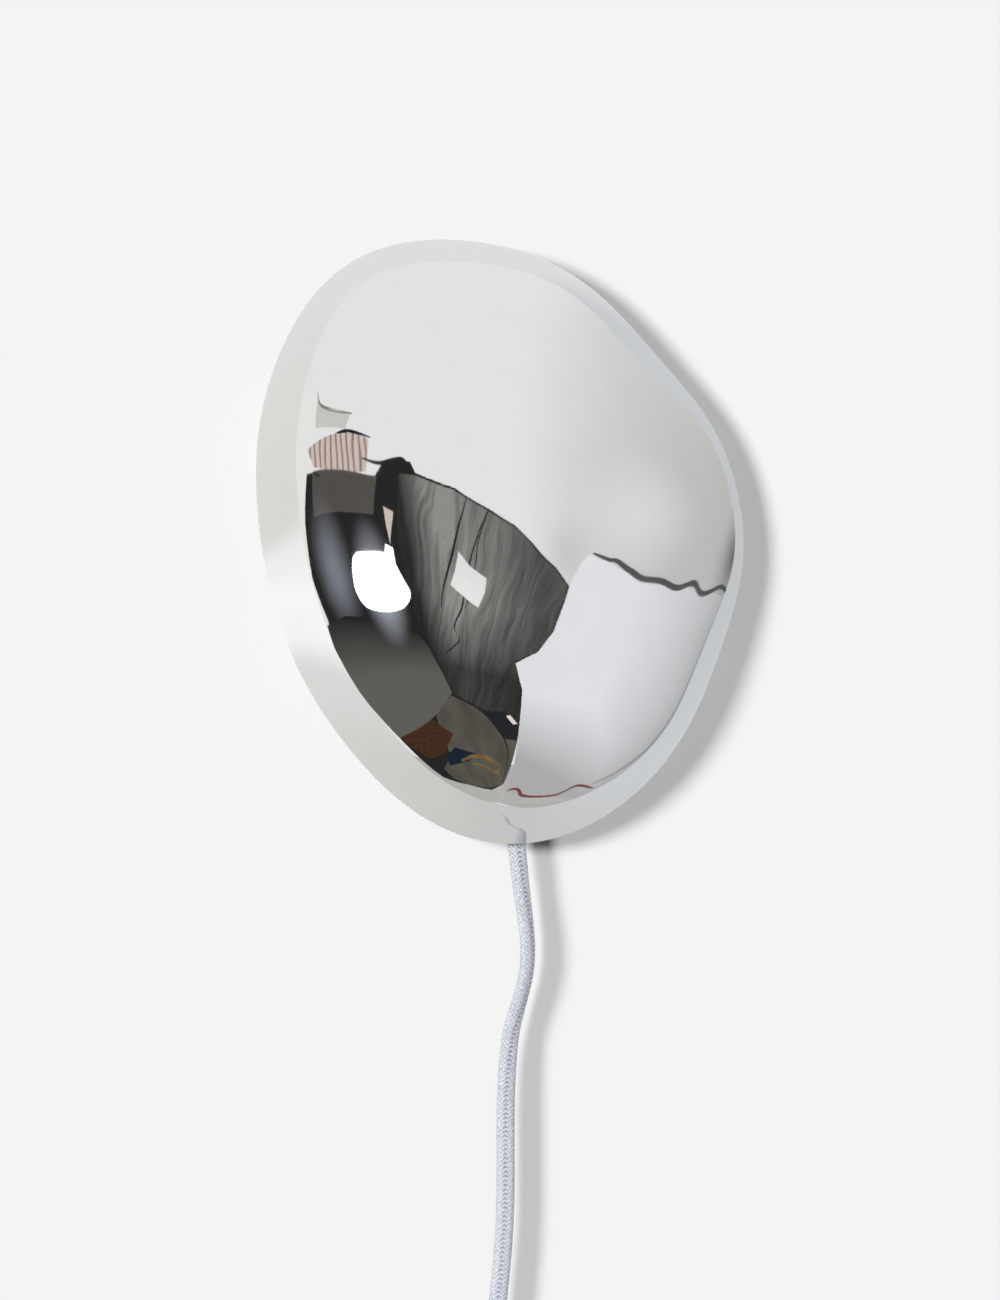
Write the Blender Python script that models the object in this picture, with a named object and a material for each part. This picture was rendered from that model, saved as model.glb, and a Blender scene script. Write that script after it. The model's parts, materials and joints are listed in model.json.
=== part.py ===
"""Plug-in wall light: a mirror-polished pebble shade that hangs on a wall plate.

It has its lead, in-line switch and plug.

Metres, +Z up. The wall is the plane y = 0 and the light stands out from it towards -Y.
The origin is the middle of the wall plate's back face.
"Front" is the distance out from the wall, so y = -front.
"""

import math

import bmesh
import bpy
import numpy as np
from mathutils import Matrix, Vector

MM = 0.001
GAP = 0.3 * MM  # left between pieces that touch

# Shade shell. Values round the rim start at +X and turn towards +Z in equal steps.
RIM_RADII = (
    100.4, 100, 99.7, 99.6, 104.9, 114.5, 122.5, 129.1, 130.8, 123, 113.2, 104.5,
    98.9, 96.9, 98.2, 102, 109, 118.3, 124.3, 123, 116.8, 109, 102.2, 100.2,
)  # mm
RIM_FRONT = 16 * MM
CROWN_HEIGHT = 48 * MM  # the broad dome
EDGE_HEIGHT = 14 * MM  # the quick turn next to the rim
DOME_SHARES = (0.3, 0.3, 0.4, 0.85, 1.3, 1.15, 0.85, 0.95, 1.35, 1.6, 0.85, 0.4)  # of the broad dome's slope
EDGE_POWERS = (2.2, 2.2, 4, 6, 8, 7, 6.5, 9, 9, 5, 7, 5)  # a higher power turns more quickly
SHELL_THICKNESS = 1.2 * MM

# Bars and tabs that carry the shade
BAR_FRONT = 18.2 * MM
SHEET = 1.5 * MM  # thickness of the bars, tabs, bracket and wall plate
UPPER_BAR_Z = 35 * MM
UPPER_BAR_WIDTH = 24 * MM
LOWER_BAR_Z = -44 * MM
LOWER_BAR_WIDTH = 12 * MM
TAB_WIDTH = 16 * MM
TAB_REACH = 22 * MM
TAB_HEIGHT = 7 * MM
TAB_CLEARANCE = 0.5 * MM  # from the smooth inner wall, so that flat facets stay apart

# Wall plate and canopy
PLATE_RADIUS = 52 * MM
CANOPY_RADIUS = 53.5 * MM
CANOPY_WALL = 1 * MM
CANOPY_FRONT = 15 * MM
WALL_KEYHOLE_X = 30 * MM
WALL_KEYHOLE_Z = -4 * MM
EAR_X = 49.6 * MM
STUD_X = 25 * MM
STUD_Z = 40 * MM
STUD_RADIUS = 2.5 * MM
SHADE_LIFT = 8 * MM
BUMPER_X = 14 * MM

# Lamp
LAMP_FRONT = 36 * MM
SHELF_Z = -13 * MM  # the bracket's shelf, upper face
HOLDER_HEIGHT = 20 * MM
PIN_X = 4.5 * MM
PIN_LENGTH = 14.2 * MM
BULB_RADIUS = 9 * MM
BULB_COVER_HEIGHT = 42 * MM

# Lead
CORD_RADIUS = 3.7 * MM
CORD_DIAMETER = 7.6 * MM  # the flat lead's width
CORD_BORE = 4 * MM
OUTLET_FRONT = 7.75 * MM
SLEEVE_TOP_Z = -56.3 * MM
SLEEVE_LENGTH = 24 * MM

# In-line switch
SWITCH_X = -2.5 * MM
SWITCH_Z = -356 * MM
SWITCH_LENGTH = 58 * MM
SWITCH_WIDTH = 24 * MM
SWITCH_SPLIT = 8 * MM
SWITCH_BACK = 0.8 * MM
SWITCH_FRONT = 16.5 * MM
SWITCH_WALL = 1.6 * MM
ROCKER_FRONT = 11.5 * MM
ROCKER_TILT = math.radians(10)
ROCKER_HALF = 8.8 * MM
ROCKER_WIDTH = 10 * MM

# Coil of put-away lead, and the plug that hangs from it
COIL_X = -22.5 * MM
COIL_Z = -463.6 * MM
COIL_RADIUS = 42 * MM  # at the middle of its turns
COIL_ACROSS = 3 * CORD_DIAMETER
COIL_DEEP = 2 * CORD_DIAMETER
COIL_BACK = 0.6 * MM
PLUG_FRONT = COIL_BACK + 1.5 * CORD_DIAMETER
PLUG_X = COIL_X + COIL_RADIUS + CORD_DIAMETER
TAIL_TOP = 30.3 * MM  # below the coil's middle
TAIL_LENGTH = 11.7 * MM
PLUG_SLEEVE = 22 * MM
PLUG_BODY = 30 * MM
BLADE_X = 6.35 * MM
BLADE_LENGTH = 17 * MM

FAN = 40  # segments of a large circle


# ---------------------------------------------------------------- materials

def material(name, colour, roughness, metallic=0.0):
    made = bpy.data.materials.get(name)
    if made is None:
        made = bpy.data.materials.new(name)
        made.use_nodes = True
        shader = made.node_tree.nodes["Principled BSDF"]
        shader.inputs["Base Color"].default_value = (*colour, 1.0)
        shader.inputs["Roughness"].default_value = roughness
        shader.inputs["Metallic"].default_value = metallic
    return made


def mirror_steel():
    return material("mirror_steel", (0.86, 0.86, 0.87), 0.03, 1.0)


def steel():
    return material("zinc_steel", (0.62, 0.62, 0.63), 0.35, 1.0)


def painted():
    return material("white_enamel", (0.82, 0.82, 0.81), 0.4)


def ceramic():
    return material("ceramic", (0.85, 0.83, 0.78), 0.5)


def rubber():
    return material("grey_rubber", (0.55, 0.56, 0.6), 0.7)


def braid():
    return material("braid", (0.58, 0.6, 0.66), 0.85)


def shell_plastic():
    return material("pale_plastic", (0.74, 0.75, 0.78), 0.4)


def diffuser():
    return material("diffuser", (0.93, 0.92, 0.88), 0.35)


def copper_lead(name, colour):
    return material(name, colour, 0.5)


def brass():
    return material("plated_brass", (0.78, 0.68, 0.45), 0.25, 1.0)


# ---------------------------------------------------------------- builders

def add_object(name, mesh, finish, parent=None, hidden=False):
    """Puts a mesh in the scene as a named piece, or as a guide that only cuts or joins."""
    made = bpy.data.objects.new(name, mesh)
    bpy.context.scene.collection.objects.link(made)
    if finish is not None:
        mesh.materials.append(finish)
    if parent is not None:
        made.parent = parent
        made.matrix_parent_inverse = parent.matrix_world.inverted()
    if hidden:
        made.hide_render = True
        made.display_type = "WIRE"
    return made


def loft(name, rings, finish, wrap=False, smooth=True, **kind):
    """Joins rings of equally many points with quads, and caps the ends unless wrap joins them to each other."""
    work = bmesh.new()
    rows = [[work.verts.new(point) for point in ring] for ring in rings]
    count = len(rows[0])
    pairs = list(zip(rows, rows[1:]))
    if wrap:
        pairs.append((rows[-1], rows[0]))
    else:
        work.faces.new(rows[0])
        work.faces.new(rows[-1])
    for lower, upper in pairs:
        for i in range(count):
            j = (i + 1) % count
            work.faces.new((lower[i], lower[j], upper[j], upper[i]))
    bmesh.ops.recalc_face_normals(work, faces=work.faces[:])
    mesh = bpy.data.meshes.new(name)
    work.to_mesh(mesh)
    work.free()
    if smooth:
        mesh.shade_smooth()
        mesh.set_sharp_from_angle(angle=math.radians(35))
    return add_object(name, mesh, finish, **kind)


def circle(radius, count, x=0.0, y=0.0):
    """Points of a circle in a plane, as pairs."""
    return [
        (x + radius * math.cos(2 * math.pi * i / count), y + radius * math.sin(2 * math.pi * i / count))
        for i in range(count)
    ]


def rounded(width, height, corner, steps=3, x=0.0, y=0.0):
    """Points of a rectangle with round corners."""
    points = []
    for turn, (sx, sy) in enumerate(((1, 1), (-1, 1), (-1, -1), (1, -1))):
        for i in range(steps + 1):
            angle = (turn + i / steps) * math.pi / 2
            points.append((
                x + sx * (width / 2 - corner) + corner * math.cos(angle),
                y + sy * (height / 2 - corner) + corner * math.sin(angle),
            ))
    return points


def facing(points, front):
    """Pairs (x, z) at a distance out from the wall."""
    return [(x, -front, z) for x, z in points]


def level(points, z):
    """Pairs (x, y) at a height."""
    return [(x, y, z) for x, y in points]


def turned(name, centre, axis, profile, finish, count=16, wrap=False, **kind):
    """A turned piece. The profile's pairs are radius and distance along the axis."""
    frame = Vector(axis).to_track_quat("Z", "Y").to_matrix()
    middle = Vector(centre)
    rings = []
    for radius, along in profile:
        rings.append([middle + frame @ Vector((x, y, along)) for x, y in circle(radius, count)])
    return loft(name, rings, finish, wrap=wrap, **kind)


def plate(name, points, back, front, finish, **kind):
    """A flat sheet parallel to the wall."""
    return loft(name, [facing(points, back), facing(points, front)], finish, smooth=False, **kind)


def block(name, low, high, finish, **kind):
    points = [(low[0], low[1]), (high[0], low[1]), (high[0], high[1]), (low[0], high[1])]
    return loft(name, [level(points, low[2]), level(points, high[2])], finish, smooth=False, **kind)


def carve(target, tool, operation="DIFFERENCE"):
    change = target.modifiers.new(tool.name, "BOOLEAN")
    change.operation = operation
    change.object = tool
    return target


def drill(target, centre, axis, radius, length, count=16):
    """A round hole about a centre, half its length to each side."""
    number = len(target.modifiers)
    tool = turned(
        f"cut_{target.name}_{number}",
        centre,
        axis,
        [(radius, -length / 2), (radius, length / 2)],
        None,
        count,
        hidden=True,
    )
    return carve(target, tool)


def slot_cut(target, low, high):
    number = len(target.modifiers)
    return carve(target, block(f"cut_{target.name}_{number}", low, high, None, hidden=True))


def add_on(target, low, high):
    number = len(target.modifiers)
    return carve(target, block(f"add_{target.name}_{number}", low, high, None, hidden=True), "UNION")


def keyhole(round_radius, slot_radius, length, x, z, steps=6):
    """A round hole with a slot that runs up from it. x and z are the round hole's centre."""
    half = math.asin(slot_radius / round_radius)
    points = []
    for i in range(2 * steps + 1):
        angle = math.pi / 2 + half + (2 * math.pi - 2 * half) * i / (2 * steps)
        points.append((x + round_radius * math.cos(angle), z + round_radius * math.sin(angle)))
    for i in range(steps + 1):
        angle = math.pi * i / steps
        points.append((x + slot_radius * math.cos(angle), z + length + slot_radius * math.sin(angle)))
    return points


def keyhole_cut(target, shape, back, front):
    number = len(target.modifiers)
    return carve(target, plate(f"cut_{target.name}_{number}", shape, back, front, None, hidden=True))


def screw(name, head_centre, axis, head_radius, head_height, shank_radius, shank_length, finish, parent=None):
    """A pan head screw. The axis points from the head's underside to the tip."""
    profile = [
        (head_radius * 0.72, -head_height),
        (head_radius, -head_height * 0.6),
        (head_radius, 0),
        (shank_radius, 0),
        (shank_radius, shank_length * 0.92),
        (shank_radius * 0.6, shank_length),
    ]
    made = turned(name, head_centre, axis, profile, finish, 12, parent=parent)
    frame = Vector(axis).to_track_quat("Z", "Y").to_matrix()
    half = Vector((head_radius * 1.2, 0.4 * MM, head_height * 0.5))
    corners = [(-half.x, -half.y), (half.x, -half.y), (half.x, half.y), (-half.x, half.y)]
    rings = [
        [Vector(head_centre) + frame @ Vector((x, y, along)) for x, y in corners]
        for along in (-head_height * 1.5, -head_height * 0.55)
    ]
    return carve(made, loft(f"slot_{name}", rings, None, hidden=True, smooth=False))


def smooth_route(points, step):
    """Evenly spaced points on one natural cubic curve through a few chosen points."""
    chosen = np.array(points, float)
    run = np.concatenate([[0], np.cumsum(np.linalg.norm(np.diff(chosen, axis=0), axis=1))])
    gaps = np.diff(run)
    count = len(chosen)
    system = np.eye(count)
    right = np.zeros((count, 3))
    for i in range(1, count - 1):
        system[i, i - 1 : i + 2] = gaps[i - 1], 2 * (gaps[i - 1] + gaps[i]), gaps[i]
        right[i] = 6 * ((chosen[i + 1] - chosen[i]) / gaps[i] - (chosen[i] - chosen[i - 1]) / gaps[i - 1])
    bend = np.linalg.solve(system, right)
    fine = np.linspace(0, run[-1], 40 * count)
    place = np.clip(np.searchsorted(run, fine, side="right") - 1, 0, count - 2)
    gap = gaps[place][:, None]
    before = (run[place + 1] - fine)[:, None]
    after = (fine - run[place])[:, None]
    curve = (
        bend[place] * before**3 / (6 * gap)
        + bend[place + 1] * after**3 / (6 * gap)
        + (chosen[place] / gap - bend[place] * gap / 6) * before
        + (chosen[place + 1] / gap - bend[place + 1] * gap / 6) * after
    )
    along = np.concatenate([[0], np.cumsum(np.linalg.norm(np.diff(curve, axis=0), axis=1))])
    places = np.linspace(0, along[-1], max(2, round(along[-1] / step) + 1))
    return [tuple(np.interp(s, along, curve[:, axis]) for axis in range(3)) for s in places]


def tube(name, points, radius, finish, parent=None):
    """A round wire or lead along a route."""
    data = bpy.data.curves.new(name, "CURVE")
    data.dimensions = "3D"
    data.bevel_depth = radius
    data.bevel_resolution = 2
    data.use_fill_caps = True
    line = data.splines.new("POLY")
    line.points.add(len(points) - 1)
    for spot, point in zip(line.points, points):
        spot.co = (*point, 1.0)
    return add_object(name, data, finish, parent)


def pivot(name, place):
    made = bpy.data.objects.new(name, None)
    made.location = place
    bpy.context.scene.collection.objects.link(made)
    bpy.context.view_layer.update()
    return made


# ---------------------------------------------------------------- shade

def waves_of(values):
    """Values round the rim as a short Fourier series, so that what they set is smooth everywhere."""
    return np.fft.rfft(values) / len(values)


RIM_WAVES = waves_of(np.array(RIM_RADII) * MM)
DOME_WAVES = waves_of(DOME_SHARES)
POWER_WAVES = waves_of(EDGE_POWERS)


def spread(waves, rho, angle):
    """The series at a share rho of the way from the middle to the rim. Its waves fade towards the middle."""
    total = waves[0].real
    last = len(waves) - 1
    for k in range(1, last + 1):
        weight = 1 if k == last else 2
        total += weight * rho**k * (waves[k] * np.exp(1j * k * angle)).real
    return total


def reach(rho, angle):
    """Distance from the shade's middle."""
    return rho * spread(RIM_WAVES, rho, angle)


def dome_height(rho, angle):
    """Height above the rim's plane."""
    broad = CROWN_HEIGHT * (1 - rho**2) * spread(DOME_WAVES, rho, angle)
    return broad + EDGE_HEIGHT * math.sqrt(max(0.0, 1 - rho ** spread(POWER_WAVES, rho, angle)))


def shade_point(rho, angle):
    far = reach(rho, angle)
    return (far * math.cos(angle), -RIM_FRONT - dome_height(rho, angle), far * math.sin(angle))


def front_at(x, z):
    """How far out from the wall the shell's outer face is at x and z, or 0 past the rim."""
    far, angle = math.hypot(x, z), math.atan2(z, x)
    if far >= reach(1, angle):
        return 0.0
    low, high = 0.0, 1.0
    for _ in range(40):
        middle = (low + high) / 2
        low, high = (middle, high) if reach(middle, angle) < far else (low, middle)
    return RIM_FRONT + dome_height(low, angle)


def wall_x(z, front, side):
    """Where the shell's outer face is at a height z and a distance out, on the left (-1) or the right (1)."""
    low, high = 20 * MM, 160 * MM
    for _ in range(40):
        middle = (low + high) / 2
        low, high = (middle, high) if front_at(side * middle, z) > front else (low, middle)
    return side * low


def inner_x(z, front, side, depth):
    """The same on a surface that lies a depth inside the outer face."""
    small = 0.5 * MM
    by_front = (wall_x(z, front + small, side) - wall_x(z, front - small, side)) / (2 * small)
    by_z = (wall_x(z + small, front, side) - wall_x(z - small, front, side)) / (2 * small)
    return wall_x(z, front, side) - side * depth * math.sqrt(1 + by_front**2 + by_z**2)


def make_shell(parent):
    segments = 48
    broad_rows, edge_rows = 4, 5
    edge_start = 0.84  # where the rows close up for the turn at the rim
    power = POWER_WAVES[0].real
    start = math.asin(edge_start ** (power / 2))
    turn = [start + (math.pi / 2 - start) * i / edge_rows for i in range(edge_rows + 1)]
    shares = [edge_start * i / (broad_rows + 1) for i in range(1, broad_rows + 1)]
    shares += [math.sin(angle) ** (2 / power) for angle in turn]
    work = bmesh.new()
    top = work.verts.new(shade_point(0, 0))
    angles = [2 * math.pi * i / segments for i in range(segments)]
    rows = [[work.verts.new(shade_point(share, angle)) for angle in angles] for share in shares]
    for i in range(segments):
        j = (i + 1) % segments
        work.faces.new((top, rows[0][j], rows[0][i]))
        for inner, outer in zip(rows, rows[1:]):
            work.faces.new((inner[i], inner[j], outer[j], outer[i]))
    bmesh.ops.recalc_face_normals(work, faces=work.faces[:])
    work.faces.ensure_lookup_table()
    if work.faces[0].normal.y > 0:
        bmesh.ops.reverse_faces(work, faces=work.faces[:])
    mesh = bpy.data.meshes.new("shade_shell")
    work.to_mesh(mesh)
    work.free()
    mesh.shade_smooth()
    shell = add_object("shade_shell", mesh, mirror_steel(), parent)
    thick = shell.modifiers.new("thickness", "SOLIDIFY")
    thick.thickness = SHELL_THICKNESS
    thick.offset = -1
    thick.use_even_offset = True
    return shell


def bar_hole_x(z, side):
    """The screw's place, in the middle of a tab's flange."""
    return inner_x(z, BAR_FRONT + SHEET + GAP, side, SHELL_THICKNESS) - side * TAB_REACH * 0.7


def make_tab(name, z, side, parent):
    """An L of sheet: its short leg follows the shell's inner wall, its flange lies against the bar."""
    flange_back = BAR_FRONT + SHEET + GAP
    flange_front = flange_back + SHEET
    tip = flange_back + TAB_HEIGHT
    near = SHELL_THICKNESS + TAB_CLEARANCE
    far = near + SHEET
    end = inner_x(z, flange_back, side, SHELL_THICKNESS) - side * TAB_REACH
    rings = []
    for i in range(5):
        height = z + TAB_WIDTH * (i / 4 - 0.5)
        middle = (flange_front + tip) / 2
        section = [
            (inner_x(height, flange_back, side, near), flange_back),
            (inner_x(height, middle, side, near), middle),
            (inner_x(height, tip, side, near), tip),
            (inner_x(height, tip, side, far), tip),
            (inner_x(height, middle, side, far), middle),
            (inner_x(height, flange_front, side, far), flange_front),
            (end, flange_front),
            (end, flange_back),
        ]
        rings.append([(x, -front, height) for x, front in section])
    tab = loft(name, rings, steel(), smooth=False, parent=parent)
    return drill(tab, (bar_hole_x(z, side), -(flange_back + SHEET / 2), z), (0, 1, 0), 2.3 * MM, 4 * MM)


def make_bar(name, z, width, parent):
    ends = []
    for side in (-1, 1):
        reaches = [
            abs(inner_x(z + up * width / 2, BAR_FRONT + deep, side, SHELL_THICKNESS + 2 * MM))
            for up in (-1, 1)
            for deep in (0, SHEET)
        ]
        ends.append(side * min(reaches))
    middle, span = (ends[0] + ends[1]) / 2, ends[1] - ends[0]
    outline = rounded(span, width, 3 * MM, x=middle, y=z)
    bar = plate(name, outline, BAR_FRONT, BAR_FRONT + SHEET, steel(), parent=parent)
    for side in (-1, 1):
        drill(bar, (bar_hole_x(z, side), -(BAR_FRONT + SHEET / 2), z), (0, 1, 0), 2.3 * MM, 4 * MM)
    return bar


def hexagon(across, x, z):
    """Twelve points round a hexagon: its corners and the middles of its sides."""
    corner = across / math.sqrt(3)
    points = []
    for i in range(6):
        here = (math.cos(math.pi * i / 3), math.sin(math.pi * i / 3))
        after = (math.cos(math.pi * (i + 1) / 3), math.sin(math.pi * (i + 1) / 3))
        points.append((x + corner * here[0], z + corner * here[1]))
        points.append((x + corner * (here[0] + after[0]) / 2, z + corner * (here[1] + after[1]) / 2))
    return points


def make_bar_fasteners(number, z, side, parent):
    x = bar_hole_x(z, side)
    nut_back = BAR_FRONT + 2 * SHEET + 2 * GAP
    head = (x, -(BAR_FRONT - GAP), z)
    screw(f"bar_screw_{number}", head, (0, -1, 0), 3.5 * MM, 2 * MM, 2 * MM, 8.6 * MM, steel(), parent)
    outside = hexagon(7 * MM, x, z)
    bore = circle(2.3 * MM, 12, x, z)
    nut_front = nut_back + 3.2 * MM
    corners = [(outside, nut_back), (outside, nut_front), (bore, nut_front), (bore, nut_back)]
    rings = [facing(points, front) for points, front in corners]
    loft(f"bar_nut_{number}", rings, steel(), wrap=True, smooth=False, parent=parent)


def make_shade():
    """Everything that lifts off with the shade. Its empty is on the lifting line, at the studs' height."""
    lift = pivot("shade_frame", (0, -BAR_FRONT, STUD_Z))
    make_shell(lift)
    upper = make_bar("upper_bar", UPPER_BAR_Z, UPPER_BAR_WIDTH, lift)
    for side in (-1, 1):
        shape = keyhole(5 * MM, STUD_RADIUS + GAP, SHADE_LIFT, side * STUD_X, STUD_Z - SHADE_LIFT)
        keyhole_cut(upper, shape, BAR_FRONT - MM, BAR_FRONT + SHEET + MM)
    make_bar("lower_bar", LOWER_BAR_Z, LOWER_BAR_WIDTH, lift)
    number = 0
    for z in (UPPER_BAR_Z, LOWER_BAR_Z):
        for side in (-1, 1):
            number += 1
            make_tab(f"shade_tab_{number}", z, side, lift)
            make_bar_fasteners(number, z, side, lift)


# ---------------------------------------------------------------- wall side

def make_wall_plate():
    base = plate("wall_plate", circle(PLATE_RADIUS, FAN), 0, SHEET, steel())
    for side in (-1, 1):
        low, high = sorted((side * EAR_X, side * (EAR_X + SHEET)))
        add_on(base, (low, -12 * MM, -6 * MM), (high, -SHEET / 2, 6 * MM))
        drill(base, (side * EAR_X, -7 * MM, 0), (1, 0, 0), 2.3 * MM, 8 * MM)
        shape = keyhole(4.5 * MM, 2.3 * MM, 10 * MM, side * WALL_KEYHOLE_X, WALL_KEYHOLE_Z)
        keyhole_cut(base, shape, -MM, SHEET + MM)
    return base


def make_canopy():
    """The pan over the wiring: a wall round the plate and a closed front."""
    inner = CANOPY_RADIUS - CANOPY_WALL
    profile = [
        (inner - 0.7 * MM, CANOPY_FRONT - CANOPY_WALL),
        (inner, CANOPY_FRONT - 2 * MM),
        (inner, GAP),
        (CANOPY_RADIUS, GAP),
        (CANOPY_RADIUS, CANOPY_FRONT - 2 * MM),
        (CANOPY_RADIUS - 0.5 * MM, CANOPY_FRONT - 0.7 * MM),
        (CANOPY_RADIUS - 1.7 * MM, CANOPY_FRONT),
    ]
    rings = [facing(circle(radius, FAN), front) for radius, front in profile]
    pan = loft("canopy", rings, painted())
    for side in (-1, 1):
        drill(pan, (side * CANOPY_RADIUS, -7 * MM, 0), (1, 0, 0), 2.3 * MM, 6 * MM)
        drill(pan, (side * STUD_X, -CANOPY_FRONT, STUD_Z), (0, 1, 0), STUD_RADIUS + GAP, 6 * MM)
        drill(pan, (side * 6 * MM, -CANOPY_FRONT, 0), (0, 1, 0), 1.8 * MM, 6 * MM)
        drill(pan, (side * BUMPER_X, -CANOPY_FRONT, LOWER_BAR_Z), (0, 1, 0), 1.8 * MM, 6 * MM)
    drill(pan, (0, -CANOPY_FRONT, -24 * MM), (0, 1, 0), 4 * MM, 6 * MM)
    drill(pan, (0, -OUTLET_FRONT, -CANOPY_RADIUS), (0, 0, 1), 5 * MM, 8 * MM)
    for side, word in ((-1, "left"), (1, "right")):
        head = (side * (CANOPY_RADIUS + GAP), -7 * MM, 0)
        screw(f"canopy_screw_{word}", head, (-side, 0, 0), 3.5 * MM, 2 * MM, 2 * MM, 7 * MM, steel())


def make_studs():
    """Headed studs for the upper bar's keyholes, riveted through the canopy's front."""
    for side, word in ((-1, "left"), (1, "right")):
        collar = CANOPY_FRONT + GAP
        profile = [
            (4 * MM, CANOPY_FRONT - CANOPY_WALL - GAP - 1.5 * MM),
            (4 * MM, CANOPY_FRONT - CANOPY_WALL - GAP),
            (STUD_RADIUS, CANOPY_FRONT - CANOPY_WALL - GAP),
            (STUD_RADIUS, collar),
            (4 * MM, collar),
            (4 * MM, BAR_FRONT - GAP),
            (STUD_RADIUS, BAR_FRONT - GAP),
            (STUD_RADIUS, BAR_FRONT + SHEET + GAP),
            (4.5 * MM, BAR_FRONT + SHEET + GAP),
            (4.5 * MM, BAR_FRONT + SHEET + 1.3 * MM),
            (3.4 * MM, BAR_FRONT + SHEET + 1.8 * MM),
        ]
        turned(f"shade_stud_{word}", (side * STUD_X, 0, STUD_Z), (0, -1, 0), profile, steel(), 12)


def make_bumpers():
    """Rubber buttons that the lower bar rests on, each with a stem in the canopy's front."""
    for side, word in ((-1, "left"), (1, "right")):
        profile = [
            (2.8 * MM, CANOPY_FRONT - CANOPY_WALL - GAP - 1.2 * MM),
            (2.8 * MM, CANOPY_FRONT - CANOPY_WALL - GAP),
            (1.5 * MM, CANOPY_FRONT - CANOPY_WALL - GAP),
            (1.5 * MM, CANOPY_FRONT + GAP),
            (5 * MM, CANOPY_FRONT + GAP),
            (5 * MM, BAR_FRONT - 1.1 * MM),
            (4 * MM, BAR_FRONT - GAP),
        ]
        turned(f"bumper_{word}", (side * BUMPER_X, 0, LOWER_BAR_Z), (0, -1, 0), profile, rubber(), 12)


# ---------------------------------------------------------------- lamp

def make_bracket():
    """A foot on the canopy and a shelf that stands out from it, bent from one strip."""
    foot = CANOPY_FRONT + GAP
    half = 11 * MM
    bracket = block("lamp_bracket", (-half, -(foot + SHEET), SHELF_Z - SHEET), (half, -foot, 8 * MM), steel())
    add_on(bracket, (-half, -(LAMP_FRONT + 11 * MM), SHELF_Z - SHEET), (half, -(foot + SHEET / 2), SHELF_Z))
    drill(bracket, (0, -LAMP_FRONT, SHELF_Z), (0, 0, 1), 4 * MM, 6 * MM)
    for side, word in ((-1, "left"), (1, "right")):
        drill(bracket, (side * 6 * MM, -foot, 0), (0, 1, 0), 1.8 * MM, 8 * MM)
        drill(bracket, (side * 8.5 * MM, -LAMP_FRONT, SHELF_Z), (0, 0, 1), 1.5 * MM, 6 * MM)
        head = (side * 6 * MM, -(foot + SHEET + GAP), 0)
        screw(f"bracket_screw_{word}", head, (0, 1, 0), 3 * MM, 1.9 * MM, 1.5 * MM, 6 * MM, steel())
        below = (side * 8.5 * MM, -LAMP_FRONT, SHELF_Z - SHEET - GAP)
        screw(f"holder_screw_{word}", below, (0, 0, 1), 2.2 * MM, 1.5 * MM, 1.2 * MM, 8 * MM, steel())


def make_holder():
    """The ceramic block, with a slot for each of the lamp's pins and blind holes for its screws."""
    low = SHELF_Z + GAP
    top = low + HOLDER_HEIGHT
    wide, deep, round_off = 24 * MM, 15 * MM, 5 * MM
    shrink = 1.2 * MM
    rings = [
        level(rounded(wide, deep, round_off, y=-LAMP_FRONT), low),
        level(rounded(wide, deep, round_off, y=-LAMP_FRONT), top - shrink),
        level(rounded(wide - 2 * shrink, deep - 2 * shrink, round_off - shrink, y=-LAMP_FRONT), top),
    ]
    holder = loft("lamp_holder", rings, ceramic())
    for side in (-1, 1):
        x = side * PIN_X
        slot_cut(
            holder,
            (x - 0.8 * MM, -LAMP_FRONT - 1.8 * MM, top - PIN_LENGTH - 1.5 * MM),
            (x + 0.8 * MM, -LAMP_FRONT + 1.8 * MM, top + MM),
        )
        drill(holder, (side * 8.5 * MM, -LAMP_FRONT, low), (0, 0, 1), 1.5 * MM, 14 * MM, 12)


def make_bulb():
    """The lamp that pulls out of the holder. Its empty is on its axis, at the holder's top."""
    seat = SHELF_Z + GAP + HOLDER_HEIGHT + GAP
    slide = pivot("bulb_frame", (0, -LAMP_FRONT, seat))
    centre = (0, -LAMP_FRONT, seat)
    base = [
        (6.5 * MM, 0),
        (8 * MM, 2 * MM),
        (8 * MM, 9 * MM),
        (BULB_RADIUS, 11 * MM),
        (BULB_RADIUS, 14 * MM),
    ]
    turned("bulb_base", centre, (0, 0, 1), base, shell_plastic(), 20, parent=slide)
    wall = 1.2 * MM
    foot = 14 * MM + GAP
    shoulder = foot + BULB_COVER_HEIGHT - BULB_RADIUS
    outside = [(BULB_RADIUS, foot)]
    inside = [(BULB_RADIUS - wall, foot)]
    for i in range(5):
        angle = math.radians(18 * i)
        outside.append((BULB_RADIUS * math.cos(angle), shoulder + BULB_RADIUS * math.sin(angle)))
        inner = BULB_RADIUS - wall
        inside.append((inner * math.cos(angle), shoulder + inner * math.sin(angle)))
    turned("bulb_cover", centre, (0, 0, 1), inside[::-1] + outside, diffuser(), 20, parent=slide)
    for side, word in ((-1, "left"), (1, "right")):
        x = side * PIN_X
        block(
            f"bulb_pin_{word}",
            (x - 0.4 * MM, -LAMP_FRONT - 1.3 * MM, seat - GAP - PIN_LENGTH),
            (x + 0.4 * MM, -LAMP_FRONT + 1.3 * MM, seat - GAP),
            steel(),
            parent=slide,
        )


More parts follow.
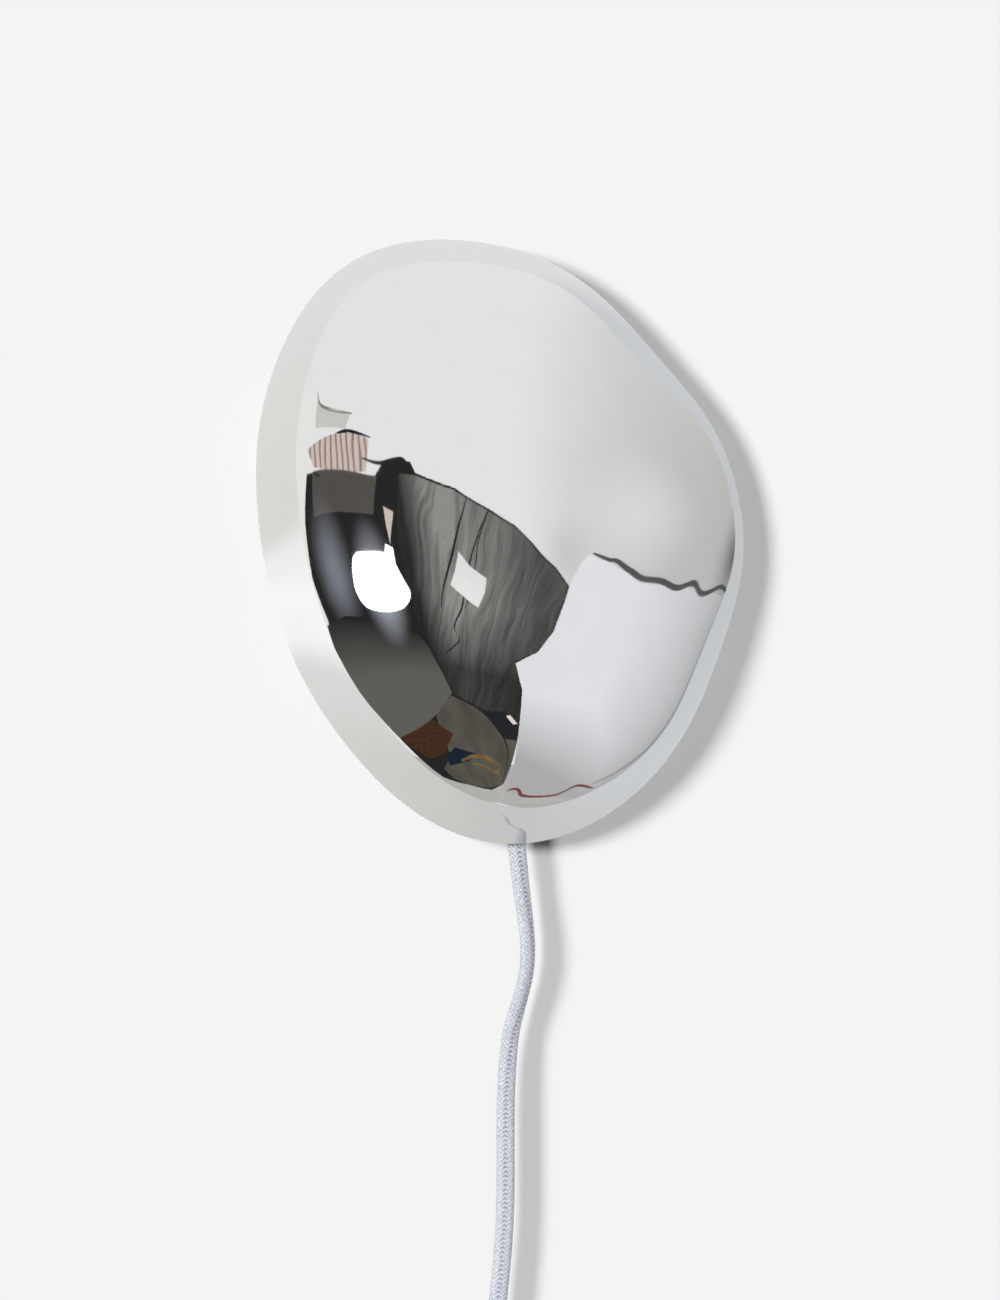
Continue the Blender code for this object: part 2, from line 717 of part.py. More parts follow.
def make_wiring():
    """Two twist-on caps, each joining one of the lead's cores to one of the holder's leads."""
    colours = {"live": (0.32, 0.16, 0.08), "neutral": (0.16, 0.28, 0.62)}
    for side, word in ((-1, "live"), (1, "neutral")):
        cap = [
            (3.6 * MM, 6 * MM),
            (3.6 * MM, 0),
            (5 * MM, 0),
            (5 * MM, 5 * MM),
            (4.2 * MM, 6 * MM),
            (3 * MM, 16 * MM),
        ]
        centre = (side * 14 * MM, -OUTLET_FRONT, -12 * MM)
        turned(f"wire_cap_{word}", centre, (0, 0, 1), cap, shell_plastic(), 12)
        finish = copper_lead(f"{word}_lead", colours[word])
        lead = [
            (2.2, 36, -13.1), (2.2, 36, -17), (2.2, 33.5, -21), (2.2, 28, -23.6), (2.2, 21, -24),
            (2.3, 14.5, -24), (3.6, 10.6, -23.4), (8, 8.6, -20.6), (11.8, 7.9, -16.4), (12.7, 7.75, -12),
            (12.7, 7.75, -9),
        ]
        core = [
            (1.7, 7.75, -46.7), (1.9, 7.75, -43.5), (5, 7.6, -36.5), (11, 7.4, -28), (14.8, 7.6, -19.5),
            (15.3, 7.75, -12), (15.3, 7.75, -9),
        ]
        for name, route, radius in ((f"holder_lead_{word}", lead, 1.0), (f"cord_core_{word}", core, 0.9)):
            points = [(side * x * MM, -front * MM, z * MM) for x, front, z in route]
            tube(name, smooth_route(points, 3.8 * MM), radius * MM, finish)


# ---------------------------------------------------------------- outlet and lead

def ribbed_sleeve(name, centre, axis, wide, narrow, length, bore, finish, ribs=4):
    """A tapered sleeve with shallow grooves. With a bore it is open at both ends."""
    profile = [(wide, 0)]
    for i in range(ribs):
        start, stop = (0.2 + 0.75 * (i + part) / ribs for part in (0.35, 1.0))
        for share, groove in ((start, 0), (start, 1), (stop, 1), (stop, 0)):
            radius = wide + (narrow - wide) * share - groove * 0.5 * MM
            profile.append((radius, length * (share + 0.012 * groove * (1 if share == start else -1))))
    profile.append((narrow, length))
    if bore:
        profile = profile + [(bore, length), (bore, 0)]
    return turned(name, centre, axis, profile, finish, 12, wrap=bool(bore))


def make_outlet():
    """The bushing through the canopy's wall, its ring nut inside, and the tapered sleeve below."""
    centre = (0, -OUTLET_FRONT, 0)
    flange_top = CANOPY_RADIUS + GAP
    neck, flange = 4.7 * MM, 6.5 * MM
    flange_low = -SLEEVE_TOP_Z - GAP
    bushing = [
        (CORD_BORE, flange_low),
        (flange - 0.6 * MM, flange_low),
        (flange, flange_low - 0.6 * MM),
        (flange, flange_top),
        (neck, flange_top),
        (neck, 48.5 * MM),
        (CORD_BORE, 48.5 * MM),
    ]
    turned("cord_bushing", centre, (0, 0, -1), bushing, shell_plastic(), wrap=True)
    nut = [(neck + GAP, 51.7 * MM), (5.9 * MM, 51.7 * MM), (5.9 * MM, 49.3 * MM), (neck + GAP, 49.3 * MM)]
    turned("bushing_nut", centre, (0, 0, -1), nut, shell_plastic(), wrap=True)
    top = (0, -OUTLET_FRONT, SLEEVE_TOP_Z)
    ribbed_sleeve("strain_relief", top, (0, 0, -1), 5.9 * MM, 4.9 * MM, SLEEVE_LENGTH, CORD_BORE, rubber())


def make_cord():
    """The lead: out of the canopy and down the wall to the switch, on to the coil, then to the plug."""
    upper = [
        (0, 7.75, -47), (0, 7.75, -62), (0, 7.75, -80), (1.8, 7.9, -96), (4.4, 8.1, -111), (6.6, 8.3, -125),
        (8.3, 8.4, -140), (10.6, 8.4, -158.5), (11.3, 8.3, -171), (10.0, 8.1, -181.5), (7.2, 7.9, -192),
        (4.4, 7.8, -203), (3.0, 7.8, -214.5), (2.2, 7.9, -232), (2.1, 8.0, -265), (1.2, 8.0, -290),
        (-1.0, 8.0, -313), (-2.5, 8.0, -332),
    ]
    lower = [
        (-2.5, 8.0, -380), (-2.5, 7.9, -388), (-2.3, 7.2, -396.5), (-1.7, 6.6, -401), (-0.7, 6.0, -405.4),
        (0.5, 5.6, -409.3),
    ]
    for name, route, step in (("cord_upper", upper, 2 * CORD_DIAMETER), ("cord_lower", lower, CORD_DIAMETER)):
        points = [(x * MM, -front * MM, z * MM) for x, front, z in route]
        tube(name, smooth_route(points, step), CORD_RADIUS, braid())
    top = COIL_Z - TAIL_TOP
    tail = [(PLUG_X, -PLUG_FRONT, top - TAIL_LENGTH * i / 2) for i in range(3)]
    tube("cord_tail", tail, CORD_RADIUS, braid())


def coil_section(grow, angle, corner=5 * MM):
    """The outline round the coil's turns at an angle on the coil, grown by a margin."""
    points = []
    middle = COIL_BACK + COIL_DEEP / 2
    for across, front in rounded(COIL_ACROSS + 2 * grow, COIL_DEEP + 2 * grow, corner + grow, 1):
        radius = COIL_RADIUS + across
        x, z = COIL_X + radius * math.cos(angle), COIL_Z + radius * math.sin(angle)
        points.append((x, -(middle + front), z))
    return points


def make_coil():
    rings = [coil_section(0, 2 * math.pi * i / 32) for i in range(32)]
    loft("cord_coil", rings, braid(), wrap=True)
    angles = [math.radians(22 + 12 * i / 3) for i in range(4)]
    outside = [coil_section(1.2 * MM, angle) for angle in angles]
    inside = [coil_section(GAP, angle) for angle in angles]
    loft("coil_tie", outside + inside[::-1], rubber(), wrap=True)


# ---------------------------------------------------------------- switch

def switch_outline(inset):
    corner = 10 * MM - inset
    return rounded(SWITCH_WIDTH - 2 * inset, SWITCH_LENGTH - 2 * inset, corner, 4, SWITCH_X, SWITCH_Z)


def switch_tray(name, steps):
    return loft(name, [facing(switch_outline(inset), front) for inset, front in steps], shell_plastic())


def make_switch():
    """Two trays, one against the other, with a rocker on a pin in the front one."""
    steps = [(SWITCH_WALL, SWITCH_BACK + SWITCH_WALL), (SWITCH_WALL, SWITCH_SPLIT), (0, SWITCH_SPLIT)]
    steps += [(0, SWITCH_BACK + MM), (MM, SWITCH_BACK)]
    base = switch_tray("switch_base", steps)
    split = SWITCH_SPLIT + GAP
    steps = [(SWITCH_WALL, SWITCH_FRONT - SWITCH_WALL), (SWITCH_WALL, split), (0, split)]
    steps += [(0, SWITCH_FRONT - 2.5 * MM), (0.7 * MM, SWITCH_FRONT - 0.8 * MM), (2.2 * MM, SWITCH_FRONT)]
    cover = switch_tray("switch_cover", steps)
    inner_front = SWITCH_FRONT - SWITCH_WALL / 2
    for side, word in ((1, "upper"), (-1, "lower")):
        z = SWITCH_Z + side * 19.5 * MM
        boss = 3 * MM
        boss_back = split + 0.2 * MM
        add_on(cover, (SWITCH_X - boss, -inner_front, z - boss), (SWITCH_X + boss, -boss_back, z + boss))
        drill(cover, (SWITCH_X, -split, z), (0, 1, 0), 1.5 * MM, 10 * MM, 12)
        drill(base, (SWITCH_X, -SWITCH_BACK, z), (0, 1, 0), 1.8 * MM, 6 * MM, 12)
        head = (SWITCH_X, -(SWITCH_BACK - GAP), z)
        screw(f"switch_screw_{word}", head, (0, -1, 0), 2.4 * MM, 0.4 * MM, 1.2 * MM, 12 * MM, steel())
    cheek, cheek_back = 3 * MM, ROCKER_FRONT - 2.5 * MM
    for side in (-1, 1):
        low, high = sorted((SWITCH_X + side * 5.5 * MM, SWITCH_X + side * 7.2 * MM))
        add_on(cover, (low, -inner_front, SWITCH_Z - cheek), (high, -cheek_back, SWITCH_Z + cheek))
    half = ROCKER_WIDTH / 2 + GAP
    slot_cut(
        cover,
        (SWITCH_X - half, -(SWITCH_FRONT + MM), SWITCH_Z - ROCKER_HALF - MM),
        (SWITCH_X + half, -(SWITCH_FRONT - 3 * MM), SWITCH_Z + ROCKER_HALF + MM),
    )
    drill(cover, (SWITCH_X, -ROCKER_FRONT, SWITCH_Z), (1, 0, 0), 1.1 * MM, 18 * MM, 12)
    for tray in (base, cover):
        drill(tray, (SWITCH_X, -SWITCH_SPLIT, SWITCH_Z), (0, 0, 1), CORD_BORE, SWITCH_LENGTH + 4 * MM)
    pin = [(0.8 * MM, -7.6 * MM), (0.8 * MM, 7.6 * MM)]
    turned("rocker_pin", (SWITCH_X, -ROCKER_FRONT, SWITCH_Z), (1, 0, 0), pin, steel(), 12)
    make_rocker()


def make_rocker():
    """The rocker, made level about its pin and then tipped to its rest position."""
    hinge = pivot("rocker_hinge", (SWITCH_X, -ROCKER_FRONT, SWITCH_Z))
    shape = [
        (-ROCKER_HALF, 4.5 * MM), (-ROCKER_HALF / 2, 3.9 * MM), (0, 3.7 * MM), (ROCKER_HALF / 2, 3.9 * MM),
        (ROCKER_HALF, 4.5 * MM), (ROCKER_HALF, 2.2 * MM), (3 * MM, -1.7 * MM), (-3 * MM, -1.7 * MM),
        (-ROCKER_HALF, 2.2 * MM),
    ]
    half = ROCKER_WIDTH / 2 - GAP
    tip = Matrix.Translation(hinge.location) @ Matrix.Rotation(-ROCKER_TILT, 4, "X")
    rings = [[tip @ Vector((x, -front, z)) for z, front in shape] for x in (-half, half)]
    rocker = loft("switch_rocker", rings, shell_plastic(), smooth=False, parent=hinge)
    drill(rocker, hinge.location, (1, 0, 0), 1.1 * MM, ROCKER_WIDTH + 4 * MM, 12)


# ---------------------------------------------------------------- plug

def make_plug():
    top = COIL_Z - TAIL_TOP - TAIL_LENGTH - GAP
    place = (PLUG_X, -PLUG_FRONT, top)
    ribbed_sleeve("plug_strain_relief", place, (0, 0, -1), 4.6 * MM, 6 * MM, PLUG_SLEEVE, 0, rubber())
    shoulder = top - PLUG_SLEEVE - GAP
    sections = [
        (16, 13, 5, 0), (20, 15, 6, 3), (25, 17, 6, 9), (26, 18, 5, 20), (26, 18, 4, 29),
        (24.5, 16.5, 3.3, 30),
    ]  # width, depth, corner and distance down, in mm
    rings = [
        level(rounded(wide * MM, deep * MM, corner * MM, 3, PLUG_X, -PLUG_FRONT), shoulder - down * MM)
        for wide, deep, corner, down in sections
    ]
    loft("plug_body", rings, shell_plastic())
    face = shoulder - PLUG_BODY
    for side, word in ((-1, "left"), (1, "right")):
        x = PLUG_X + side * BLADE_X
        blade = block(
            f"plug_blade_{word}",
            (x - 0.75 * MM, -PLUG_FRONT - 3.2 * MM, face - GAP - BLADE_LENGTH),
            (x + 0.75 * MM, -PLUG_FRONT + 3.2 * MM, face - GAP),
            brass(),
        )
        drill(blade, (x, -PLUG_FRONT, face - BLADE_LENGTH + 4 * MM), (1, 0, 0), 1.5 * MM, 4 * MM, 12)


def clear_scene():
    for old in list(bpy.data.objects):
        bpy.data.objects.remove(old)


def main():
    clear_scene()
    make_wall_plate()
    make_canopy()
    make_studs()
    make_bumpers()
    make_shade()
    make_bracket()
    make_holder()
    make_bulb()
    make_wiring()
    make_outlet()
    make_cord()
    make_coil()
    make_switch()
    make_plug()


main()
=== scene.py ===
"""Looks of a plug-in wall light: mirror-polished pebble shade, braided lead, in-line switch and plug.

Metres, +Z up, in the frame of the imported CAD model. The wall is the plane y = 0.
"Front" is the distance out from the wall, so y = -front. Lists of places are in millimetres.
"""

import json
import math

import bmesh
import bpy
import numpy as np
from mathutils import Matrix, Vector
from mathutils.geometry import delaunay_2d_cdt

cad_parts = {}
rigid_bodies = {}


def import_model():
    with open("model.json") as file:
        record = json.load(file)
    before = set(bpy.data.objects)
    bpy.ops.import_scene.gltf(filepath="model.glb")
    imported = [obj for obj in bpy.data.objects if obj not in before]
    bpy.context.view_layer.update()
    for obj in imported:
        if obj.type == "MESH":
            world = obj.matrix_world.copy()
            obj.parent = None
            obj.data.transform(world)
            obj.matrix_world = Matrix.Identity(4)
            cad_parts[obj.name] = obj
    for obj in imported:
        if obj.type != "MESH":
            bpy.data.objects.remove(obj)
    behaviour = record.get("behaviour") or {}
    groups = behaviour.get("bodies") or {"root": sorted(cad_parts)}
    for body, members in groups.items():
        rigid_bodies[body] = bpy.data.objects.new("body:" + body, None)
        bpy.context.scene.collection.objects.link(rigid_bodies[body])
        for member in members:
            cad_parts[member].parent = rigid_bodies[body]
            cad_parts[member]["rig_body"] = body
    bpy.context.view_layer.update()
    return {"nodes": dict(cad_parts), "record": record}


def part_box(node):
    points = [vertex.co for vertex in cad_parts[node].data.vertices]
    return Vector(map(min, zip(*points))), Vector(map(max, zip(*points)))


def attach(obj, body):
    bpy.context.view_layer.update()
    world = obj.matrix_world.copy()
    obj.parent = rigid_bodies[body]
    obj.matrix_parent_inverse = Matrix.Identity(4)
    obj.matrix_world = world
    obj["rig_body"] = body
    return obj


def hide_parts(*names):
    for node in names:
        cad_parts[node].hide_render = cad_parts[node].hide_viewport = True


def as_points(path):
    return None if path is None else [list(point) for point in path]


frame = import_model()

MM = 0.001
SLOT_OF = {row["node"]: row["material_slot"] for row in frame["record"]["subparts"]}

# Shade, as in the CAD model. Values round the rim start at +X and turn towards +Z in equal steps.
RIM_RADII = (
    100.4, 100, 99.7, 99.6, 104.9, 114.5, 122.5, 129.1, 130.8, 123, 113.2, 104.5,
    98.9, 96.9, 98.2, 102, 109, 118.3, 124.3, 123, 116.8, 109, 102.2, 100.2,
)  # mm
RIM_FRONT = 16 * MM
CROWN_HEIGHT = 48 * MM
EDGE_HEIGHT = 14 * MM
DOME_SHARES = (0.3, 0.3, 0.4, 0.85, 1.3, 1.15, 0.85, 0.95, 1.35, 1.6, 0.85, 0.4)
EDGE_POWERS = (2.2, 2.2, 4, 6, 8, 7, 6.5, 9, 9, 5, 7, 5)
SHELL_THICKNESS = 1.2 * MM
SHARP = math.radians(35)  # turned pieces and cut pieces keep an edge from here on

# Lead
LEAD_WIDTH = 7.6 * MM
LEAD_DEPTH = 5.6 * MM
EXIT_FRONT = 7.75  # mm
STRANDS = 12  # round the lead, of each of the braid's two sets
STRAND_CLIMB = 1.85 * MM  # along the lead, from one strand to the next
SEEN = 0.29  # metres of lead that may come into view
COIL_X, COIL_Z = -22.5, -463.6  # mm
COIL_BACK_FRONT, COIL_FRONT_FRONT = 4.4, 12.0  # mm, the middles of its two layers
TAIL_END_Z = -505.6  # mm
ON_THE_LEAD = (
    "strain_relief", "switch_base", "switch_cover", "switch_rocker", "rocker_pin", "switch_screw_upper",
    "switch_screw_lower", "coil_tie", "plug_strain_relief", "plug_body", "plug_blade_left",
    "plug_blade_right",
)


# ---------------------------------------------------------------- camera

def make_camera():
    """Straight on from three metres, with the wall plane as tall in the picture as in the photograph."""
    far, tall = 3.0, 0.5369
    data = bpy.data.cameras.new("camera")
    data.lens = data.sensor_width * (far - RIM_FRONT) / tall
    camera = bpy.data.objects.new("camera", data)
    camera.location = (-0.0002, -far, -0.0444)
    camera.rotation_euler = (math.pi / 2, 0, 0)
    bpy.context.scene.collection.objects.link(camera)
    bpy.context.scene.camera = camera


# ---------------------------------------------------------------- materials

class Nodes:
    """A node tree under construction. Each call adds one node and gives its output."""

    def __init__(self, tree):
        self.tree = tree

    def put(self, socket, value):
        if isinstance(value, bpy.types.NodeSocket):
            self.tree.links.new(value, socket)
        else:
            socket.default_value = value

    def node(self, kind, inputs=(), output=0, **settings):
        made = self.tree.nodes.new("ShaderNode" + kind)
        for name, value in settings.items():
            setattr(made, name, value)
        for name, value in dict(inputs).items():
            self.put(made.inputs[name], value)
        return made.outputs[output]

    def math(self, operation, *values):
        return self.node("Math", enumerate(values), operation=operation)

    def part(self, vector, axis):
        return self.node("SeparateXYZ", {0: vector}, axis)

    def place(self, scale=(1, 1, 1), uv=None):
        """Object coordinates in metres, or a UV map, scaled along each axis."""
        source = self.node("UVMap", uv_map=uv) if uv else self.node("TexCoord", output="Object")
        return self.node("Mapping", {"Vector": source, "Scale": scale})

    def noise(self, place, size, detail=3.0, roughness=0.5, distortion=0.0):
        """Noise with features of about that size in metres."""
        shape = {"Scale": 1 / size, "Detail": detail, "Roughness": roughness, "Distortion": distortion}
        return self.node("TexNoise", {"Vector": place, **shape})

    def between(self, factor, low, high, start=0.3, stop=0.7):
        """Runs from low to high as the factor goes from start to stop."""
        inputs = {"Value": factor, "From Min": start, "From Max": stop, "To Min": low, "To Max": high}
        return self.node("MapRange", inputs)

    def blend(self, factor, first, second, kind="MIX"):
        made = self.tree.nodes.new("ShaderNodeMix")
        made.data_type = "RGBA"
        made.blend_type = kind
        for socket, value in ((0, factor), (6, first), (7, second)):
            self.put(made.inputs[socket], (*value, 1.0) if isinstance(value, tuple) else value)
        return made.outputs[2]

    def bump(self, height, distance, **onto):
        return self.node("Bump", {"Height": height, "Distance": distance, **onto})


class Finish(Nodes):
    """A material under construction."""

    def __init__(self, name):
        self.material = bpy.data.materials.new(name)
        self.material.use_nodes = True
        super().__init__(self.material.node_tree)
        self.shader = self.tree.nodes["Principled BSDF"]

    def surface(self, shader):
        """Replaces the Principled shader."""
        self.put(self.tree.nodes["Material Output"].inputs["Surface"], shader)
        return self.material

    def set(self, **values):
        """Sockets of the Principled shader, with _ for a space."""
        for name, value in values.items():
            self.put(self.shader.inputs[name.replace("_", " ")], value)
        return self.material


def mottled(made, colour, other, size, rough, relief, grain, metallic=0.0, stretch=(1, 1, 1)):
    """Two shades in soft patches, roughness that follows them and a fine grain in relief. Sizes in mm."""
    place = made.place(stretch)
    patches = made.noise(place, size * MM, 4.0)
    fine = made.noise(place, grain * MM, 2.0)
    return made.set(
        Base_Color=made.blend(made.between(patches, 0, 1), colour, other),
        Roughness=made.between(made.noise(place, size * MM / 3), *rough),
        Metallic=metallic,
        Normal=made.bump(fine, relief * MM),
    )


def mirror_finish():
    """Polished steel: hairline scratches in two directions and faint wiping marks."""
    made = Finish("mirror_steel")
    wiped = made.noise(made.place(), 18 * MM, 5.0, 0.6)
    along = made.noise(made.place((0.03, 1, 1)), 0.35 * MM, 1.0)
    across = made.noise(made.place((1, 1, 0.04)), 0.3 * MM, 1.0)
    return made.set(
        Base_Color=made.blend(made.between(wiped, 0, 1), (0.905, 0.905, 0.9), (0.925, 0.925, 0.925)),
        Roughness=made.between(wiped, 0.012, 0.04),
        Metallic=1.0,
        Normal=made.bump(made.math("ADD", along, across), 0.0006 * MM),
    )


def spun_finish():
    """The shade's inside: satin steel with the rings that spinning leaves."""
    made = Finish("spun_steel")
    place = made.place()
    shape = {"Vector": place, "Scale": 170.0, "Distortion": 1.5, "Detail": 2.0}
    rings = made.node("TexWave", shape, wave_type="RINGS", rings_direction="Y")
    return made.set(
        Base_Color=made.blend(rings, (0.6, 0.6, 0.61), (0.7, 0.7, 0.7)),
        Roughness=made.between(made.noise(place, 8 * MM), 0.24, 0.36),
        Metallic=1.0,
        Normal=made.bump(rings, 0.01 * MM),
    )


def ceramic_finish():
    """Unglazed steatite, cream with darker specks."""
    made = Finish("ceramic")
    mottled(made, (0.82, 0.8, 0.74), (0.87, 0.86, 0.81), 5, (0.5, 0.7), 0.03, 0.25)
    specks = made.between(made.noise(made.place(), 0.5 * MM, 1.0), 1, 0.75, 0.68, 0.74)
    colour = made.shader.inputs["Base Color"].links[0].from_socket
    return made.set(Base_Color=made.blend(1.0, colour, specks, "MULTIPLY"))


def braid_finish():
    """Twill braid: two sets of strands climb along the map's U, one each way round, and cross."""
    made = Finish("braid")
    mapped = made.place(uv="braid")
    along, around = made.part(mapped, 0), made.part(mapped, 1)
    one, two = made.math("ADD", along, around), made.math("SUBTRACT", along, around)
    steps = made.math("SUBTRACT", made.math("FLOOR", one), made.math("FLOOR", two))
    positive = made.math("ADD", steps, 2000.0)
    over = made.math("GREATER_THAN", made.math("MODULO", positive, 4.0), 1.5)
    ridges = []
    for strand in (one, two):
        ridges.append(made.math("SINE", made.math("MULTIPLY", made.math("FRACT", strand), math.pi)))
    height = made.node("Mix", {0: over, 2: ridges[0], 3: ridges[1]})
    middle = made.math("SUBTRACT", made.math("FRACT", made.math("DIVIDE", around, STRANDS / 2)), 0.5)
    in_valley = made.between(made.math("ABSOLUTE", middle), 1.0, 0.0, 0.03, 0.13)
    beat = made.math("SINE", made.math("MULTIPLY", along, math.tau))
    dimple = made.math("MULTIPLY", in_valley, made.between(beat, 0.0, 1.0, -0.1, 0.8))
    fuzz = made.noise(made.place(), 0.16 * MM, 2.0)
    patches = made.noise(made.place(), 9 * MM, 3.0)
    yarn = made.blend(made.between(patches, 0, 1), (0.84, 0.88, 0.95), (0.9, 0.93, 0.98))
    # One set of strands is a little darker where it lies over the other. Painted shade darkens the low ground
    # between strands and the dimples along the middle valley.
    yarn = made.blend(made.math("MULTIPLY", over, 0.3), yarn, (0.6, 0.64, 0.73))
    shaded = made.blend(made.between(height, 1.0, 0.0, 0.0, 0.9), yarn, (0.44, 0.48, 0.57))
    dimple_painted_shade = made.blend(made.math("MULTIPLY", dimple, 0.8), shaded, (0.3, 0.33, 0.42))
    threads = made.noise(made.place(), 0.8 * MM, 2.0)
    darker = made.blend(made.between(threads, 0.55, 0.0, 0.3, 0.5), dimple_painted_shade, (0.45, 0.49, 0.6))
    fleck = made.blend(made.between(threads, 0.0, 0.7, 0.5, 0.68), darker, (0.97, 0.98, 1.0))
    strands = made.bump(made.math("SUBTRACT", height, dimple), 0.2 * MM)
    return made.set(
        Base_Color=fleck,
        Roughness=made.between(fuzz, 0.65, 0.9),
        Sheen_Weight=0.35,
        Sheen_Roughness=0.5,
        Normal=made.bump(fuzz, 0.05 * MM, Normal=strands),
    )


# The two shades, their patches, the roughness, the relief and its grain, whether it is metal, and its stretch
SHEATH = (4, (0.35, 0.55), 0.01, 0.4, 0.0, (1, 1, 0.2))
MOTTLED = {
    "zinc_steel": ((0.6, 0.6, 0.6), (0.7, 0.69, 0.66), 6, (0.25, 0.42), 0.01, 0.3, 1.0, (0.15, 1, 1)),
    "white_enamel": ((0.8, 0.8, 0.79), (0.84, 0.84, 0.83), 15, (0.3, 0.42), 0.015, 0.8),
    "grey_rubber": ((0.5, 0.51, 0.55), (0.58, 0.59, 0.63), 7, (0.55, 0.75), 0.02, 0.35),
    "pale_plastic": ((0.7, 0.71, 0.74), (0.76, 0.77, 0.8), 20, (0.36, 0.5), 0.02, 0.28),
    "diffuser": ((0.9, 0.89, 0.85), (0.95, 0.94, 0.91), 12, (0.28, 0.4), 0.01, 0.5),
    "live_lead": ((0.3, 0.15, 0.08), (0.39, 0.195, 0.104), *SHEATH),
    "neutral_lead": ((0.15, 0.26, 0.6), (0.195, 0.338, 0.78), *SHEATH),
    "plated_brass": ((0.78, 0.66, 0.42), (0.84, 0.76, 0.56), 5, (0.16, 0.34), 0.008, 0.25, 1.0, (1, 1, 0.1)),
}
FURTHER = {
    "white_enamel": {"Coat_Weight": 0.3, "Coat_Roughness": 0.15},
    "grey_rubber": {"Sheen_Weight": 0.15, "Sheen_Roughness": 0.6},
    "diffuser": {"Subsurface_Weight": 0.4, "Subsurface_Scale": 2 * MM},
}
FINISHES = {"mirror_steel": mirror_finish(), "ceramic": ceramic_finish(), "braid": braid_finish()}
for name, settings in MOTTLED.items():
    started = Finish(name)
    mottled(started, *settings)
    FINISHES[name] = started.set(**FURTHER.get(name, {}))


# ---------------------------------------------------------------- meshes

def add_object(name, mesh, finish):
    if finish:
        mesh.materials.append(finish)
    made = bpy.data.objects.new(name, mesh)
    bpy.context.scene.collection.objects.link(made)
    return made


def stand_for(piece, *nodes):
    """The piece takes the place and the body of these CAD nodes."""
    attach(piece, frame["nodes"][nodes[0]]["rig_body"])
    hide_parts(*nodes)


def grid_mesh(name, rows, wrap=False, caps=(0, -1)):
    """Closed rows of points joined by quads. Wrap joins the last row to the first,
    and caps adds a face at the first (0) and the last (-1) row."""
    rows = np.asarray(rows, float)
    count, around = rows.shape[:2]
    mesh = bpy.data.meshes.new(name)
    faces = []
    for i in range(count if wrap else count - 1):
        here, there = i * around, (i + 1) % count * around
        for j in range(around):
            k = (j + 1) % around
            faces.append((here + j, here + k, there + k, there + j))
    if 0 in caps:
        faces.append(tuple(range(around))[::-1])
    if -1 in caps:
        faces.append(tuple(range((count - 1) * around, count * around)))
    mesh.from_pydata(rows.reshape(-1, 3).tolist(), [], faces)
    mesh.validate()
    tidy_normals(mesh)
    return mesh


def tidy_normals(mesh):
    work = bmesh.new()
    work.from_mesh(mesh)
    bmesh.ops.recalc_face_normals(work, faces=work.faces[:])
    work.to_mesh(mesh)
    work.free()
    mesh.shade_smooth()


def lengths_along(points):
    return np.concatenate([[0], np.cumsum(np.linalg.norm(np.diff(points, axis=0), axis=1))])


def spline(points, places):
    """A natural cubic curve through the points, sampled at a number of places or at those of a function."""
    points = np.asarray(points, float)
    knots = lengths_along(points)
    gaps = np.diff(knots)
    size = len(points)
    system = np.eye(size)
    right = np.zeros((size, 3))
    for i in range(1, size - 1):
        system[i, i - 1 : i + 2] = gaps[i - 1], 2 * (gaps[i - 1] + gaps[i]), gaps[i]
        right[i] = 6 * ((points[i + 1] - points[i]) / gaps[i] - (points[i] - points[i - 1]) / gaps[i - 1])
    bend = np.linalg.solve(system, right)
    places = places(knots) if callable(places) else np.linspace(0, knots[-1], places)
    at = np.clip(np.searchsorted(knots, places) - 1, 0, size - 2)
    width = gaps[at][:, None]
    before = (places - knots[at])[:, None]
    after = (knots[at + 1] - places)[:, None]
    return (
        bend[at] * after**3 / (6 * width)
        + bend[at + 1] * before**3 / (6 * width)
        + (points[at] / width - bend[at] * width / 6) * after
        + (points[at + 1] / width - bend[at + 1] * width / 6) * before
    )


def across_of(line, away):
    """Two unit directions at each point of a line: across both it and away, and across it and the first."""
    forward = np.gradient(line, lengths_along(line), axis=0)
    side = np.cross(forward, away)
    side /= np.linalg.norm(side, axis=1)[:, None]
    deep = np.cross(side, forward)
    return side, deep / np.linalg.norm(deep, axis=1)[:, None]


def tube(line, away, half_width, half_depth, around):
    """Rows of points round a line."""
    side, deep = across_of(line, away)
    turn = 2 * np.pi * np.arange(around)[:, None] / around
    offset = half_width * np.cos(turn) * side[:, None] + half_depth * np.sin(turn) * deep[:, None]
    return line[:, None] + offset


# ---------------------------------------------------------------- lead

UPPER_ROUTE = [
    (0, 7.75, -47), (0, 7.75, -62), (0, 7.75, -80), (1.8, 7.9, -96), (4.4, 8.1, -111), (6.6, 8.3, -125),
    (8.3, 8.4, -140), (10.6, 8.4, -158.5), (11.3, 8.3, -171), (10.0, 8.1, -181.5), (7.2, 7.9, -192),
    (4.4, 7.8, -203), (3.0, 7.8, -214.5), (2.2, 7.9, -232), (2.1, 8.0, -265), (1.2, 8.0, -290),
    (-1.0, 8.0, -313), (-2.5, 8.0, -332),
]
SWITCH_ROUTE = [(-2.5, 8.0, -348), (-2.5, 8.0, -364)]
LOWER_ROUTE = [
    (-2.5, 8.0, -380), (-2.5, 7.9, -388), (-2.3, 7.2, -396.5), (-1.7, 6.6, -401), (-0.7, 6.0, -405.4),
    (0.5, 5.6, -409.3),
]


